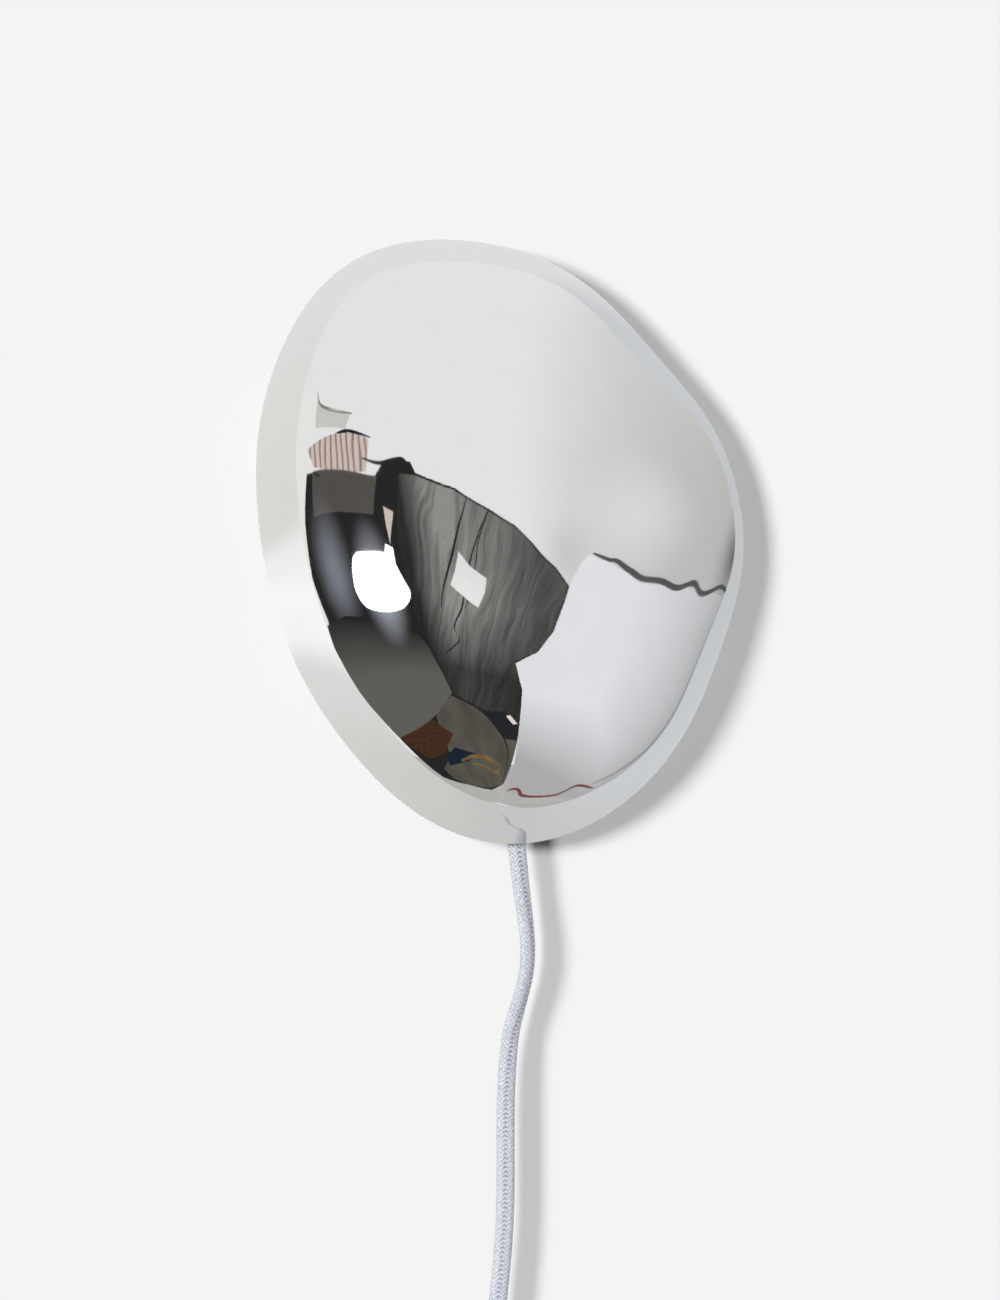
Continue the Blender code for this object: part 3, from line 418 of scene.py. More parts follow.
def coil_route():
    """From the arc that leads in, six turns clockwise: inwards next to the wall, then outwards in front."""
    points = []
    for degrees in (22, 33, 44):
        angle = math.radians(degrees)
        front = 5.1 - 0.7 * (degrees - 22) / 22
        points.append((49.1 - 51.6 * math.cos(angle), front, -392 - 51.6 * math.sin(angle)))
    turns, per_turn = 6.125, 16
    outer, middle, inner = 49.6, 42, 34.4
    changes = (0, 0.85, 1.0, 1.85, 2.0, 2.9, 3.05, 4.0, 4.15, 5.1, 5.25, turns)
    radii = (outer, outer, middle, middle, inner, inner, inner, inner, middle, middle, outer, outer)
    fronts = (COIL_BACK_FRONT,) * 6 + (COIL_FRONT_FRONT,) * 6
    for i in range(1, round(turns * per_turn)):
        turn = i / per_turn
        radius, front = np.interp(turn, changes, radii), np.interp(turn, changes, fronts)
        angle = math.pi / 4 - 2 * math.pi * turn
        points.append((COIL_X + radius * math.cos(angle), front, COIL_Z + radius * math.sin(angle)))
    for down in (0, 12, 26, COIL_Z - TAIL_END_Z):
        points.append((COIL_X + outer, COIL_FRONT_FRONT, COIL_Z - down))
    return points


def lead_roll(place, total):
    """How far the flat lead is turned about its line: flat to the wall, on edge in bends and the coil."""
    places = (0, 55, 80, 105, 125, 140, 150, 170, 195, 330, 366, 388, total - 60, total - 12)
    return np.radians(np.interp(place, places, (0, 0, 20, 45, 62, 60, 45, 15, 0, 0, 60, 90, 90, 0)))


def in_metres(route):
    return [(x * MM, -front * MM, z * MM) for x, front, z in route]


def lead_places(knots):
    """Close together where the lead hangs in view, and further apart behind the switch."""
    fine, coarse = 0.42 * MM, 1.5 * MM
    unseen = int((knots[-1] - SEEN) / coarse)
    return np.concatenate([np.arange(0, SEEN, fine), np.linspace(SEEN, knots[-1], unseen)])


def map_braid(mesh, place, around):
    """U goes along the lead and V round it, counted in strands."""
    corners = np.zeros(len(mesh.loops), int)
    mesh.loops.foreach_get("vertex_index", corners)
    uv = np.stack([place[corners // around] / STRAND_CLIMB, STRANDS * (corners % around) / around], 1)
    quads = (len(place) - 1) * around
    v = uv[: quads * 4, 1].reshape(-1, 4)
    on_seam = (v.max(1) - v.min(1) > STRANDS / 2)[:, None]
    v += np.where(on_seam & (v < STRANDS / 2), STRANDS, 0)
    mesh.uv_layers.new(name="braid").data.foreach_set("uv", uv.astype(np.float32).ravel())


def make_lead():
    """The lead with its braid in relief, which fades out below the picture."""
    line = spline(in_metres(UPPER_ROUTE + SWITCH_ROUTE + LOWER_ROUTE + coil_route()), lead_places)
    place = lengths_along(line)
    side, up = across_of(line, (0, -1, 0))
    roll = lead_roll(place / MM, place[-1] / MM)[:, None]
    wide = np.cos(roll) * side + np.sin(roll) * up
    thin = np.cos(roll) * up - np.sin(roll) * side

    around = 36
    share = np.arange(around) / around
    x = LEAD_WIDTH / 2 * np.cos(2 * np.pi * share)
    valley_depth, valley_width = 0.13, 1.1 * MM
    valley = 1 - valley_depth * np.exp(-((x / valley_width) ** 2))
    y = LEAD_DEPTH / 2 * np.sin(2 * np.pi * share) * valley
    one, two = (place[:, None] / STRAND_CLIMB + way * STRANDS * share for way in (1, -1))
    over = np.mod(np.floor(one) - np.floor(two), 4) > 1.5
    ridge = np.sin(np.pi * np.mod(np.where(over, two, one), 1))
    fade = np.clip((SEEN + 0.02 - place) / 0.02, 0, 1)[:, None]
    relief = 0.07 * MM * (ridge - 0.6) * fade
    grow = 1 + relief / (LEAD_DEPTH / 2)
    rows = line[:, None] + (x * grow)[:, :, None] * wide[:, None] + (y * grow)[:, :, None] * thin[:, None]
    mesh = grid_mesh("lead", rows)
    map_braid(mesh, place, around)
    lead = add_object("lead", mesh, FINISHES["braid"])
    stand_for(lead, "cord_upper", "cord_lower", "cord_coil", "cord_tail")
    return lead, line, float(place[-1])


# ---------------------------------------------------------------- shade

def waves_of(values):
    return np.fft.rfft(values) / len(values)


def spread(waves, rho, angle):
    """Values round the rim, carried inwards. Their waves fade towards the middle."""
    total = waves[0].real
    last = len(waves) - 1
    for k in range(1, last + 1):
        total = total + (1 if k == last else 2) * rho**k * (waves[k] * np.exp(1j * k * angle)).real
    return total


RIM_WAVES = waves_of(np.array(RIM_RADII) * MM)
DOME_WAVES = waves_of(DOME_SHARES)
POWER_WAVES = waves_of(EDGE_POWERS)


def dome(rho, angle):
    """Points of the smooth dome at shares rho of the way to the rim."""
    far = rho * spread(RIM_WAVES, rho, angle)
    broad = CROWN_HEIGHT * (1 - rho**2) * spread(DOME_WAVES, rho, angle)
    edge = EDGE_HEIGHT * np.sqrt(np.maximum(1 - rho ** spread(POWER_WAVES, rho, angle), 0))
    return np.stack([far * np.cos(angle), -RIM_FRONT - broad - edge, far * np.sin(angle)], -1)


def ripple(points):
    """Hand polishing leaves the steel very slightly wavy."""
    x, z = points[..., 0] / MM, points[..., 2] / MM
    broad = np.sin(x / 9.1 + 1.3 * np.sin(z / 17)) * np.sin(z / 11.3 + 0.7 * np.sin(x / 13))
    small = np.sin(x / 2.9 + z / 4.7 + np.sin(z / 6.1)) * np.sin(z / 3.7 - x / 5.3)
    return (0.035 * broad + 0.004 * small) * MM


def dome_normals(points):
    """Outward normals of a grid of points, from its neighbours along and round."""
    along = np.gradient(points, axis=0)
    round_it = (np.roll(points, -1, 1) - np.roll(points, 1, 1)) / 2
    normals = np.cross(along, round_it)
    lengths = np.linalg.norm(normals, axis=-1, keepdims=True)
    normals = normals / np.maximum(lengths, 1e-12)
    return normals * np.where((normals * (points - [0, 0.05, 0])).sum(-1) < 0, -1, 1)[..., None]


def make_shade():
    segments, outer_rows, inner_rows = 288, 104, 40
    angles = 2 * np.pi * np.arange(segments) / segments

    def rows_of(count):
        step = np.linspace(0.012, 1, count)
        return (1 - (1 - step) ** 2)[:, None] + 0 * angles

    smooth = dome(rows_of(outer_rows), angles)
    normals = dome_normals(smooth)
    outer = smooth + normals * ripple(smooth)[..., None] * np.linspace(1, 0, outer_rows)[:, None, None] ** 0.2
    half = SHELL_THICKNESS / 2
    rim_normals = normals[-1].copy()
    rim_normals[:, 1] = 0
    rim_normals /= np.linalg.norm(rim_normals, axis=-1, keepdims=True)
    middle = outer[-1] - rim_normals * half
    lip = []
    for turn in np.linspace(0, np.pi, 7)[1:]:
        lip.append(middle + half * (np.cos(turn) * rim_normals + np.sin(turn) * np.array([0, 1.0, 0])))
    inner = dome(rows_of(inner_rows), angles)
    inner = (inner - dome_normals(inner) * SHELL_THICKNESS)[:-1][::-1]
    mesh = grid_mesh("shade", np.concatenate([outer, np.array(lip), inner]))
    mesh.materials.append(FINISHES["mirror_steel"])
    mesh.materials.append(spun_finish())
    first_inside = segments * (outer_rows + 2)
    for face in mesh.polygons:
        face.material_index = int(min(face.vertices) >= first_inside)
    shade = add_object("shade", mesh, None)
    shade.visible_diffuse = False  # or it throws the mirrored room's light onto the wall
    stand_for(shade, "shade_shell")


# ---------------------------------------------------------------- fine pieces, in millimetres

SIDES = (("left", -1), ("right", 1))
TO_ROOM, TO_WALL, UP, DOWN, ACROSS = (0, -1, 0), (0, 1, 0), (0, 0, 1), (0, 0, -1), (1, 0, 0)


def rounded(wide, tall, corner, steps=8):
    """A rectangle with round corners, about its middle."""
    points = []
    for turn, (sx, sy) in enumerate(((1, 1), (-1, 1), (-1, -1), (1, -1))):
        for angle in np.radians(90 * turn + np.linspace(0, 90, steps + 1)):
            points.append((sx * (wide / 2 - corner) + corner * np.cos(angle),
                           sy * (tall / 2 - corner) + corner * np.sin(angle)))
    return np.array(points)


def fine_mesh(rows, wrap=False):
    """A closed mesh through rows of points."""
    return grid_mesh("fine", np.asarray(rows, float) * MM, wrap=wrap, caps=() if wrap else (0, -1))


def piece(node, mesh):
    """A new piece in the place of one CAD node."""
    stand_for(add_object(node + "_detail", mesh, FINISHES[SLOT_OF[node]]), node)


def cut(mesh, *tools):
    """The mesh with these closed meshes taken out of it."""
    body, *others = [add_object("cutting", each, None) for each in (mesh, *tools)]
    for other in others:
        change = body.modifiers.new("cut", "BOOLEAN")
        change.operation = "DIFFERENCE"
        change.object = other
    done = bpy.data.meshes.new_from_object(body.evaluated_get(bpy.context.evaluated_depsgraph_get()))
    for other in [body, *others]:
        bpy.data.objects.remove(other)
    done.materials.clear()
    done.shade_smooth()
    done.set_sharp_from_angle(angle=SHARP)
    return done


def lathe(centre, axis, profile, count=48, wrap=False, ribs=None):
    """A turned mesh. Profile pairs are radius and distance along the axis, and ribs changes the radius."""
    turn = 2 * np.pi * np.arange(count) / count
    rotation = np.array(Vector(axis).to_track_quat("Z", "Y").to_matrix())
    rows = []
    for radius, along in profile:
        radii = ribs(radius, along, turn) if ribs else np.full(count, radius)
        flat = np.stack([radii * np.cos(turn), radii * np.sin(turn), np.full(count, along)], 1)
        rows.append(np.array(centre) + flat @ rotation.T)
    mesh = fine_mesh(rows, wrap)
    mesh.set_sharp_from_angle(angle=SHARP)
    return mesh


def drill(centre, axis, radius, length):
    return lathe(centre, axis, [(radius, -length / 2), (radius, length / 2)], 32)


def arc(radius, start, stop, centre):
    """Profile pairs on a quarter circle round a corner."""
    turns = np.radians(np.linspace(start, stop, 8))
    return [(centre[0] + radius * math.cos(t), centre[1] + radius * math.sin(t)) for t in turns]


def middle_of(node):
    low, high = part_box(node)
    return (low + high) / 2 / MM


def make_screw(node, head, axis, head_radius, head_height, shank_radius, shank_length):
    """A pan head screw with a cross recess and a fine thread. The axis runs from the head to the tip."""
    flat = 0.3  # share of the head's radius that is flat
    profile = [(head_radius * flat, -head_height)]
    for t in np.linspace(0.2, 1, 6):
        radius = head_radius * (flat + (1 - flat) * math.sin(t * math.pi / 2))
        profile.append((radius, -head_height * math.cos(t * 1.35)))
    profile += [(head_radius, 0), (shank_radius, 0)]
    pitch = 0.5
    for turn in range(int(shank_length * 0.9 / pitch)):
        profile += [(shank_radius, (turn + 0.35) * pitch)]
        profile += [(shank_radius - 0.25 * pitch, (turn + 0.85) * pitch)]
    profile += [(shank_radius * 0.6, shank_length)]
    turned = Vector(axis).to_track_quat("Z", "Y").to_matrix()
    slot_long, slot_wide, lowest_with_slot = 0.62 * head_radius, 0.35, 0.7
    tools = []
    for a, b in ((slot_long, slot_wide), (slot_wide, slot_long)) if head_height > lowest_with_slot else ():
        corners = [(-a, -b), (a, -b), (a, b), (-a, b)]
        tools.append(fine_mesh([
            [Vector(head) + turned @ Vector((x, y, -share * head_height)) for x, y in corners]
            for share in (1.5, 0.42)
        ]))
    piece(node, cut(lathe(head, axis, profile, 32), *tools))


def make_screws():
    """All the screws: where the head sits, its axis, and the radius and length of head and shank."""
    for word, side in SIDES:
        make_screw(f"canopy_screw_{word}", (side * 53.8, -7, 0), (-side, 0, 0), 3.5, 2, 2, 7)
        make_screw(f"bracket_screw_{word}", (side * 6, -17.1, 0), TO_WALL, 3, 1.9, 1.5, 6)
        make_screw(f"holder_screw_{word}", (side * 8.5, -36, -14.8), UP, 2.2, 1.5, 1.2, 8)
    for number in range(1, 5):
        x, _, z = middle_of(f"bar_screw_{number}")
        make_screw(f"bar_screw_{number}", (x, -17.9, z), TO_ROOM, 3.5, 2, 2, 8.6)
    for word in ("upper", "lower"):
        x, _, z = middle_of(f"switch_screw_{word}")
        make_screw(f"switch_screw_{word}", (x, -0.5, z), TO_ROOM, 2.4, 0.4, 1.2, 12)


# Switch
SWITCH_X, SWITCH_Z = -2.5, -356
SWITCH_WIDTH, SWITCH_LENGTH, SWITCH_CORNER = 24, 58, 10
SWITCH_BACK, SWITCH_SPLIT, SWITCH_FRONT, SWITCH_WALL = 0.8, 8, 16.5, 1.6
SWITCH_EDGE = 0.35  # at the split between base and cover
PIN_FRONT, ROCKER_HALF, ROCKER_WIDTH = 11.5, 8.8, 10


def switch_rows(steps):
    """The switch's outline at steps of (inset, front)."""
    rows = []
    for inset, front in steps:
        corner = max(SWITCH_CORNER - inset, 0.5)
        x, z = rounded(SWITCH_WIDTH - 2 * inset, SWITCH_LENGTH - 2 * inset, corner, 12).T
        rows.append(np.stack([SWITCH_X + x, np.full(len(x), -front), SWITCH_Z + z], 1))
    return rows


def quarter(front, radius, steps, way):
    """Steps of a rounded edge, from the side face over to the front (1) or the back (-1)."""
    turns = np.linspace(0, np.pi / 2, steps + 1)
    return [(radius * (1 - np.cos(t)), front + way * radius * np.sin(t)) for t in turns]


def make_switch_base(lead_hole):
    edge = 1.4
    steps = [
        (SWITCH_WALL, SWITCH_BACK + SWITCH_WALL), (SWITCH_WALL, SWITCH_SPLIT), (SWITCH_EDGE, SWITCH_SPLIT),
    ]
    steps += [(0, SWITCH_SPLIT - SWITCH_EDGE)] + quarter(SWITCH_BACK + edge, edge, 6, -1)
    holes = [drill((SWITCH_X, -SWITCH_BACK, SWITCH_Z + side * 19.5), TO_WALL, 1.8, 6) for side in (-1, 1)]
    piece("switch_base", cut(fine_mesh(switch_rows(steps)), lead_hole, *holes))


def make_switch_cover(lead_hole):
    """A crowned top with grip grooves towards both ends and a raised frame round the rocker's window."""
    split, edge = SWITCH_SPLIT + 0.3, 2.6
    steps = [(SWITCH_WALL, SWITCH_FRONT - SWITCH_WALL), (SWITCH_WALL, split)]
    steps += [(SWITCH_EDGE, split), (0, split + SWITCH_EDGE)] + quarter(SWITCH_FRONT - edge, edge, 8, 1)
    rows = switch_rows(steps)
    top = rows[-1]
    middle = np.array([SWITCH_X, 0, SWITCH_Z])
    first, last, spacing = 17.2, 24.6, 1.85  # of the grooves
    for share in np.linspace(1, 0.03, 90)[1:]:
        row = middle + (top - middle) * [share, 1, share]
        across, along = np.abs(row[:, 0] - SWITCH_X), np.abs(row[:, 2] - SWITCH_Z)
        crown = 0.5 * (1 - share**2)
        wave = 0.5 - 0.5 * np.cos(2 * np.pi * (along - first) / spacing)
        groove = np.where((along > first) & (along < last), wave, 0) * np.clip((8.2 - across) / 1.2, 0, 1)
        reach = np.maximum(across - 5.3, along - 9.8)
        bezel = 0.45 * np.clip(1 - np.abs(reach - 0.9) / 1.1, 0, 1)
        row[:, 1] = -SWITCH_FRONT - (crown - 0.5 * groove + bezel)
        rows.append(row)
    half, tall, deep = ROCKER_WIDTH / 2 + 0.35, ROCKER_HALF + 1, 3
    corners = [
        (SWITCH_X + sx * half, -SWITCH_FRONT + sy * deep) for sx, sy in ((-1, -1), (1, -1), (1, 1), (-1, 1))
    ]
    window = fine_mesh([[(x, y, SWITCH_Z + side * tall) for x, y in corners] for side in (-1, 1)])
    piece("switch_cover", cut(fine_mesh(rows), lead_hole, window))


def make_rocker():
    """A hollowed rocker, tilted to off, with ridges at one end."""
    tilt = Matrix.Rotation(-math.radians(10), 3, "X")
    pin = Vector((SWITCH_X, -PIN_FRONT, SWITCH_Z))
    places = np.linspace(-ROCKER_HALF, ROCKER_HALF, 89)
    first, last, spacing, end = 3.6, 7.8, 1.4, 0.7
    fronts = 3.7 + 0.8 * (places / ROCKER_HALF) ** 2
    wave = 0.14 - 0.14 * np.cos(2 * np.pi * (places - first) / spacing)
    fronts = fronts + np.where((places > first) & (places < last), wave, 0)
    ends = np.clip((ROCKER_HALF - np.abs(places)) / end, 0, 1)
    fronts = fronts - end * (1 - np.sqrt(1 - (1 - ends) ** 2))
    outline = [*zip(places, fronts), (ROCKER_HALF, 2.2), (3, -1.7), (-3, -1.7), (-ROCKER_HALF, 2.2)]
    rows = []
    for x, shrink in ((-4.7, 0.25), (-4.45, 0), (4.45, 0), (4.7, 0.25)):
        rows.append([
            pin + tilt @ Vector((
                x, math.copysign(shrink, front) - front, z - math.copysign(min(shrink, abs(z)), z)
            ))
            for z, front in outline
        ])
    piece("switch_rocker", cut(fine_mesh(rows), drill(pin, ACROSS, 1.1, 14)))


def make_switch():
    lead_hole = drill((SWITCH_X, -SWITCH_SPLIT, SWITCH_Z), UP, 4, SWITCH_LENGTH + 4)
    make_switch_base(lead_hole.copy())
    make_switch_cover(lead_hole)
    make_rocker()


# Plug
PLUG_X, PLUG_FRONT, PLUG_TOP = 27.1, 12, -528.2


def make_sleeve(node, top, first, last, length, bore=None):
    """A tapered rubber sleeve. Two bridges break each groove and turn a quarter from one to the next."""
    count, depth, bridge_share = 7, 0.8, 0.15
    start, stop = 0.3, count - 0.25

    def ribs(radius, along, turn):
        share = along / length * count
        if radius < 4.1 or not start < share < stop:
            return np.full(len(turn), radius)
        number, part = int(share), share % 1
        wave = max(0.0, math.sin(math.pi * (part - 0.2) / 0.6)) if 0.2 < part < 0.8 else 0.0
        bridge = np.abs(np.cos(turn + math.pi / 2 * (number % 2))) < 0.3
        return radius - depth * wave**0.5 * np.where(bridge, bridge_share, 1)

    profile = [(first + (last - first) * (s / length) ** 0.8, s) for s in np.linspace(0, length, 96)]
    profile[0], profile[-1] = (first - 0.4, 0), (last - 0.3, length)
    if bore:
        profile += [(bore, length), (bore, 0)]
    piece(node, lathe(top, DOWN, profile, 64, bool(bore), ribs))


def make_plug():
    """The plug with finger grips on both sides, and its two blades."""
    downs = (0, 0.4, 3, 9, 20, 29, 29.7, 30)
    sizes = (
        (14.6, 16, 20, 25, 26, 26, 25.4, 24.5),  # width
        (11.6, 13, 15, 17, 18, 18, 17.4, 16.5),  # depth
        (5, 5.4, 6, 6, 5, 4, 3.7, 3.3),  # corner radius
    )
    grip_start, grip_stop, spacing = 9, 23, 2
    rows = []
    for down in np.concatenate([np.linspace(0, 3, 14), np.linspace(3.2, 28.8, 110), np.linspace(29, 30, 8)]):
        wide, deep, corner = (np.interp(down, downs, row) for row in sizes)
        outline = rounded(wide, deep, corner, 10)
        if grip_start < down < grip_stop:
            past = down - grip_start
            grip = 0.5 - 0.5 * math.cos(2 * math.pi * past / spacing)
            side = np.clip((np.abs(outline[:, 0]) - wide / 2 + 2.2) / 2, 0, 1)
            hollow = 0.7 * math.sin(math.pi * past / (grip_stop - grip_start))
            outline[:, 0] -= np.sign(outline[:, 0]) * side * (0.55 * grip + hollow)
        rows.append([(PLUG_X + x, y - PLUG_FRONT, PLUG_TOP - down) for x, y in outline])
    piece("plug_body", fine_mesh(rows))
    outline = rounded(6.4, 17, 1.1, 6)
    for word, side in SIDES:
        x = PLUG_X + side * 6.35
        rows = [[(x + offset, y * scale - PLUG_FRONT, z * scale - 567) for y, z in outline]
                for offset, scale in ((-0.75, 0.955), (-0.5, 1), (0.5, 1), (0.75, 0.955))]
        piece(f"plug_blade_{word}", cut(fine_mesh(rows), drill((x, -PLUG_FRONT, -571.2), ACROSS, 1.5, 4)))


def make_tie():
    """A ribbed rubber strap round the coil."""
    rows_out, rows_in = [], []
    last, middle = 32, 42
    for i, degrees in enumerate(np.linspace(22, 34, last + 1)):
        angle = math.radians(degrees)
        edge = min(1.0, min(i, last - i) / 3)
        grow = 0.85 + 0.35 * math.sqrt(1 - (1 - edge) ** 2) - (0.18 if i % 4 == 2 and 5 < i < 27 else 0)
        for rows, margin in ((rows_out, grow), (rows_in, 0.3)):
            outline = rounded(22.8 + 2 * margin, 15.2 + 2 * margin, 5 + margin, 8)
            radii, fronts = middle + outline[:, 0], 8.2 + outline[:, 1]
            right, up = COIL_X + radii * math.cos(angle), COIL_Z + radii * math.sin(angle)
            rows.append(np.stack([right, -fronts, up], 1))
    mesh = fine_mesh(rows_out + rows_in[::-1], True)
    mesh.set_sharp_from_angle(angle=math.radians(40))
    piece("coil_tie", mesh)


def make_wall_side():
    """The canopy with its holes, studs, bumpers and bushing."""
    outer, wall, front, inside_edge, edge, middle = 53.5, 1, 15, 1.6, 2.4, 0.5
    corner = (outer - wall - inside_edge, front - wall - inside_edge)
    profile = [(middle, front - wall)] + arc(inside_edge, 90, 0, corner) + [(outer - wall, 0.3), (outer, 0.3)]
    profile += arc(edge, 0, 90, (outer - edge, front - edge)) + [(middle, front)]
    tools = []
    for side in (-1, 1):
        tools.append(drill((side * outer, -7, 0), ACROSS, 2.3, 6))
        for x, z, radius in ((25, 40, 2.8), (6, 0, 1.8), (14, -44, 1.8)):
            tools.append(drill((side * x, -front, z), TO_WALL, radius, 6))
    tools += [drill((0, -front, -24), TO_WALL, 4, 6), drill((0, -EXIT_FRONT, -outer), UP, 5, 8)]
    piece("canopy", cut(lathe((0, 0, 0), TO_ROOM, profile, 128), *tools))
    stud = [
        (0.8, 12.2), (3.7, 12.2), (4, 12.5), (4, 13.7), (2.5, 13.7), (2.5, 15.3), (3.8, 15.3), (4, 15.5),
        (4, 17.7), (3.8, 17.9), (2.5, 17.9), (2.5, 20), (4.3, 20), (4.5, 20.2), (4.5, 20.8), (4.2, 21.2),
        (3.4, 21.5), (0.8, 21.5),
    ]
    bumper = [
        (0.5, 12.5), (2.6, 12.5), (2.8, 12.7), (2.8, 13.7), (1.5, 13.7), (1.5, 15.3), (4.7, 15.3),
        (5, 15.6), (5, 16.6), (4.8, 17.2), (4.3, 17.7), (3.5, 17.9), (0.5, 17.9),
    ]
    for word, side in SIDES:
        piece(f"shade_stud_{word}", lathe((side * 25, 0, 40), TO_ROOM, stud))
        piece(f"bumper_{word}", lathe((side * 14, 0, -44), TO_ROOM, bumper))
    bushing = [
        (4, 56), (5.6, 56), (6.2, 55.8), (6.5, 55.4), (6.5, 54.1), (6.2, 53.8), (4.7, 53.8), (4.7, 48.5),
        (4, 48.5),
    ]
    piece("cord_bushing", lathe((0, -EXIT_FRONT, 0), DOWN, bushing, 64, True))


def fluted(start, stop, least_radius, count, depth):
    """Upright ribs between two places along the axis."""
    def ribs(radius, along, turn):
        here = depth if start < along < stop and radius > least_radius else 0
        return radius - here * (0.5 + 0.5 * np.cos(count * turn))

    return ribs


def make_lamp():
    """The lamp: a collar with fine upright ribs, and a frosted cover."""
    centre = (0, -36, 7.6)
    base = [
        (0.5, 0), (6, 0), (6.5, 0.2), (7.8, 1.8), (8, 2.2), (8, 2.7), (8, 8.5), (8, 9), (8.9, 10.7),
        (9, 11), (9, 13.8), (8.8, 14), (0.5, 14),
    ]
    piece("bulb_base", lathe(centre, UP, base, 144, ribs=fluted(2.6, 8.6, 7, 36, 0.3)))
    foot, tall, radius, wall, edge = 14.3, 42, 9, 1.2, 0.3
    shoulder, inner = foot + tall - radius, radius - wall
    turns = np.radians(np.linspace(0, 88, 16))
    outside = [(radius - edge, foot), (radius, foot + edge)]
    outside += [(radius * math.cos(t), shoulder + radius * math.sin(t)) for t in turns]
    inside = [(inner, foot)] + [(inner * math.cos(t), shoulder + inner * math.sin(t)) for t in turns]
    piece("bulb_cover", lathe(centre, UP, inside[::-1] + outside, 64))


def make_wiring():
    """The single wires inside, and the ribbed twist-on caps."""
    holder_lead = [
        (2.2, 36, -13.1), (2.2, 36, -17), (2.2, 33.5, -21), (2.2, 28, -23.6), (2.2, 21, -24),
        (2.3, 14.5, -24), (3.6, 10.6, -23.4), (8, 8.6, -20.6), (11.8, 7.9, -16.4), (12.7, 7.75, -12),
        (12.7, 7.75, -9),
    ]
    core = [
        (1.7, 7.75, -46.7), (1.9, 7.75, -43.5), (5, 7.6, -36.5), (11, 7.4, -28), (14.8, 7.6, -19.5),
        (15.3, 7.75, -12), (15.3, 7.75, -9),
    ]
    cap = [
        (3.6, 6), (3.6, 0), (4.7, 0), (5, 0.3), (5, 4.7), (4.9, 5), (4.2, 6), (3.1, 15.5), (2.8, 15.9),
        (2.2, 16), (0.5, 16),
    ]
    for word, side in (("live", -1), ("neutral", 1)):
        for kind, route, radius in (("holder_lead", holder_lead, 1.0), ("cord_core", core, 0.9)):
            line = spline([(side * x, -front, z) for x, front, z in route], 90)
            piece(f"{kind}_{word}", fine_mesh(tube(line, ACROSS, radius, radius, 20)))
        flutes = fluted(5.2, 15.6, 0, 12, 0.28)
        piece(f"wire_cap_{word}", lathe((side * 14, -EXIT_FRONT, -12), UP, cap, 96, ribs=flutes))


# ---------------------------------------------------------------- stage

def stage_finish(name, colour, emission):
    """A pale painted surface with a little light of its own, which is clear from behind."""
    made = Finish(name)
    grain = made.noise(made.place(), 0.6 * MM, 2.0)
    made.set(
        Base_Color=(*colour, 1),
        Roughness=0.9,
        Specular_IOR_Level=0.1,
        Emission_Color=(1, 1, 1, 1),
        Emission_Strength=emission,
        Normal=made.bump(grain, 0.01 * MM),
    )
    back, clear = made.node("NewGeometry", output="Backfacing"), made.node("BsdfTransparent")
    return made.surface(made.node("MixShader", {0: back, 1: made.shader.outputs[0], 2: clear}))


def stage_plane(name, corners, facing, finish):
    mesh = bpy.data.meshes.new(name)
    mesh.from_pydata(corners, [], [(0, 1, 2, 3)])
    if mesh.polygons[0].normal.dot(Vector(facing)) < 0:
        mesh.flip_normals()
    plane = add_object(name, mesh, finish)
    return plane


def painted_wall_reflection():
    """Painted reflection of the wall for the steel's edge: paler above, painted shadow right, painted light
    on the left.
    """
    made = Finish("painted_wall_reflection")
    place = made.node("TexCoord", output="Object")
    flat = made.node("Mapping", {"Vector": place, "Rotation": (-math.pi / 2, 0, 0)})
    turn = made.node("TexGradient", {"Vector": flat}, gradient_type="RADIAL")
    ramp = made.tree.nodes.new("ShaderNodeValToRGB")
    made.put(ramp.inputs[0], turn)
    ramp.color_ramp.interpolation = "EASE"
    painted_wall_tones = [
        (-180, (0.75, 0.74, 0.71)), (-173, (0.93, 0.93, 0.93)), (-166, (1.0, 1.0, 1.0)),
        (-158, (0.97, 0.98, 0.99)), (-148, (0.75, 0.745, 0.73)), (-120, (0.66, 0.655, 0.63)),
        (-90, (0.61, 0.6, 0.585)), (-50, (0.635, 0.66, 0.68)), (0, (0.57, 0.6, 0.62)),
        (50, (0.63, 0.65, 0.67)), (75, (0.78, 0.79, 0.8)), (120, (0.79, 0.79, 0.78)),
        (180, (0.75, 0.74, 0.71)),
    ]
    while len(ramp.color_ramp.elements) < len(painted_wall_tones):
        ramp.color_ramp.elements.new(0.5)
    for stop, (degrees, shade) in zip(ramp.color_ramp.elements, painted_wall_tones):
        stop.position = degrees / 360 + 0.5
        stop.color = (*shade, 1)
    return made.surface(made.node("Emission", {"Color": ramp.outputs[0]}))


def make_wall_and_floor():
    size, floor_z = 8.0, -0.75
    out, up = Vector((0, -1, 0)), Vector((0, 0, 1))

    def upright(y, low):
        return [(-size, y, low), (size, y, low), (size, y, size), (-size, y, size)]

    paint = stage_finish("stage_wall", (0.8, 0.8, 0.8), 0.0)
    wall = stage_plane("stage_wall", upright(0, floor_z), out, paint)
    wall.visible_shadow = False
    wall.visible_glossy = False
    mirrored = stage_plane("stage_mirrored_wall", upright(-0.2 * MM, -size), out, painted_wall_reflection())
    only_in_the_steel(mirrored)
    corners = [(-size, -size, floor_z), (size, -size, floor_z), (size, size, floor_z), (-size, size, floor_z)]
    floor = stage_plane("stage_floor", corners, up, stage_finish("stage_floor", (0.75, 0.75, 0.75), 0.15))
    floor.visible_glossy = False
    floor.visible_diffuse = False


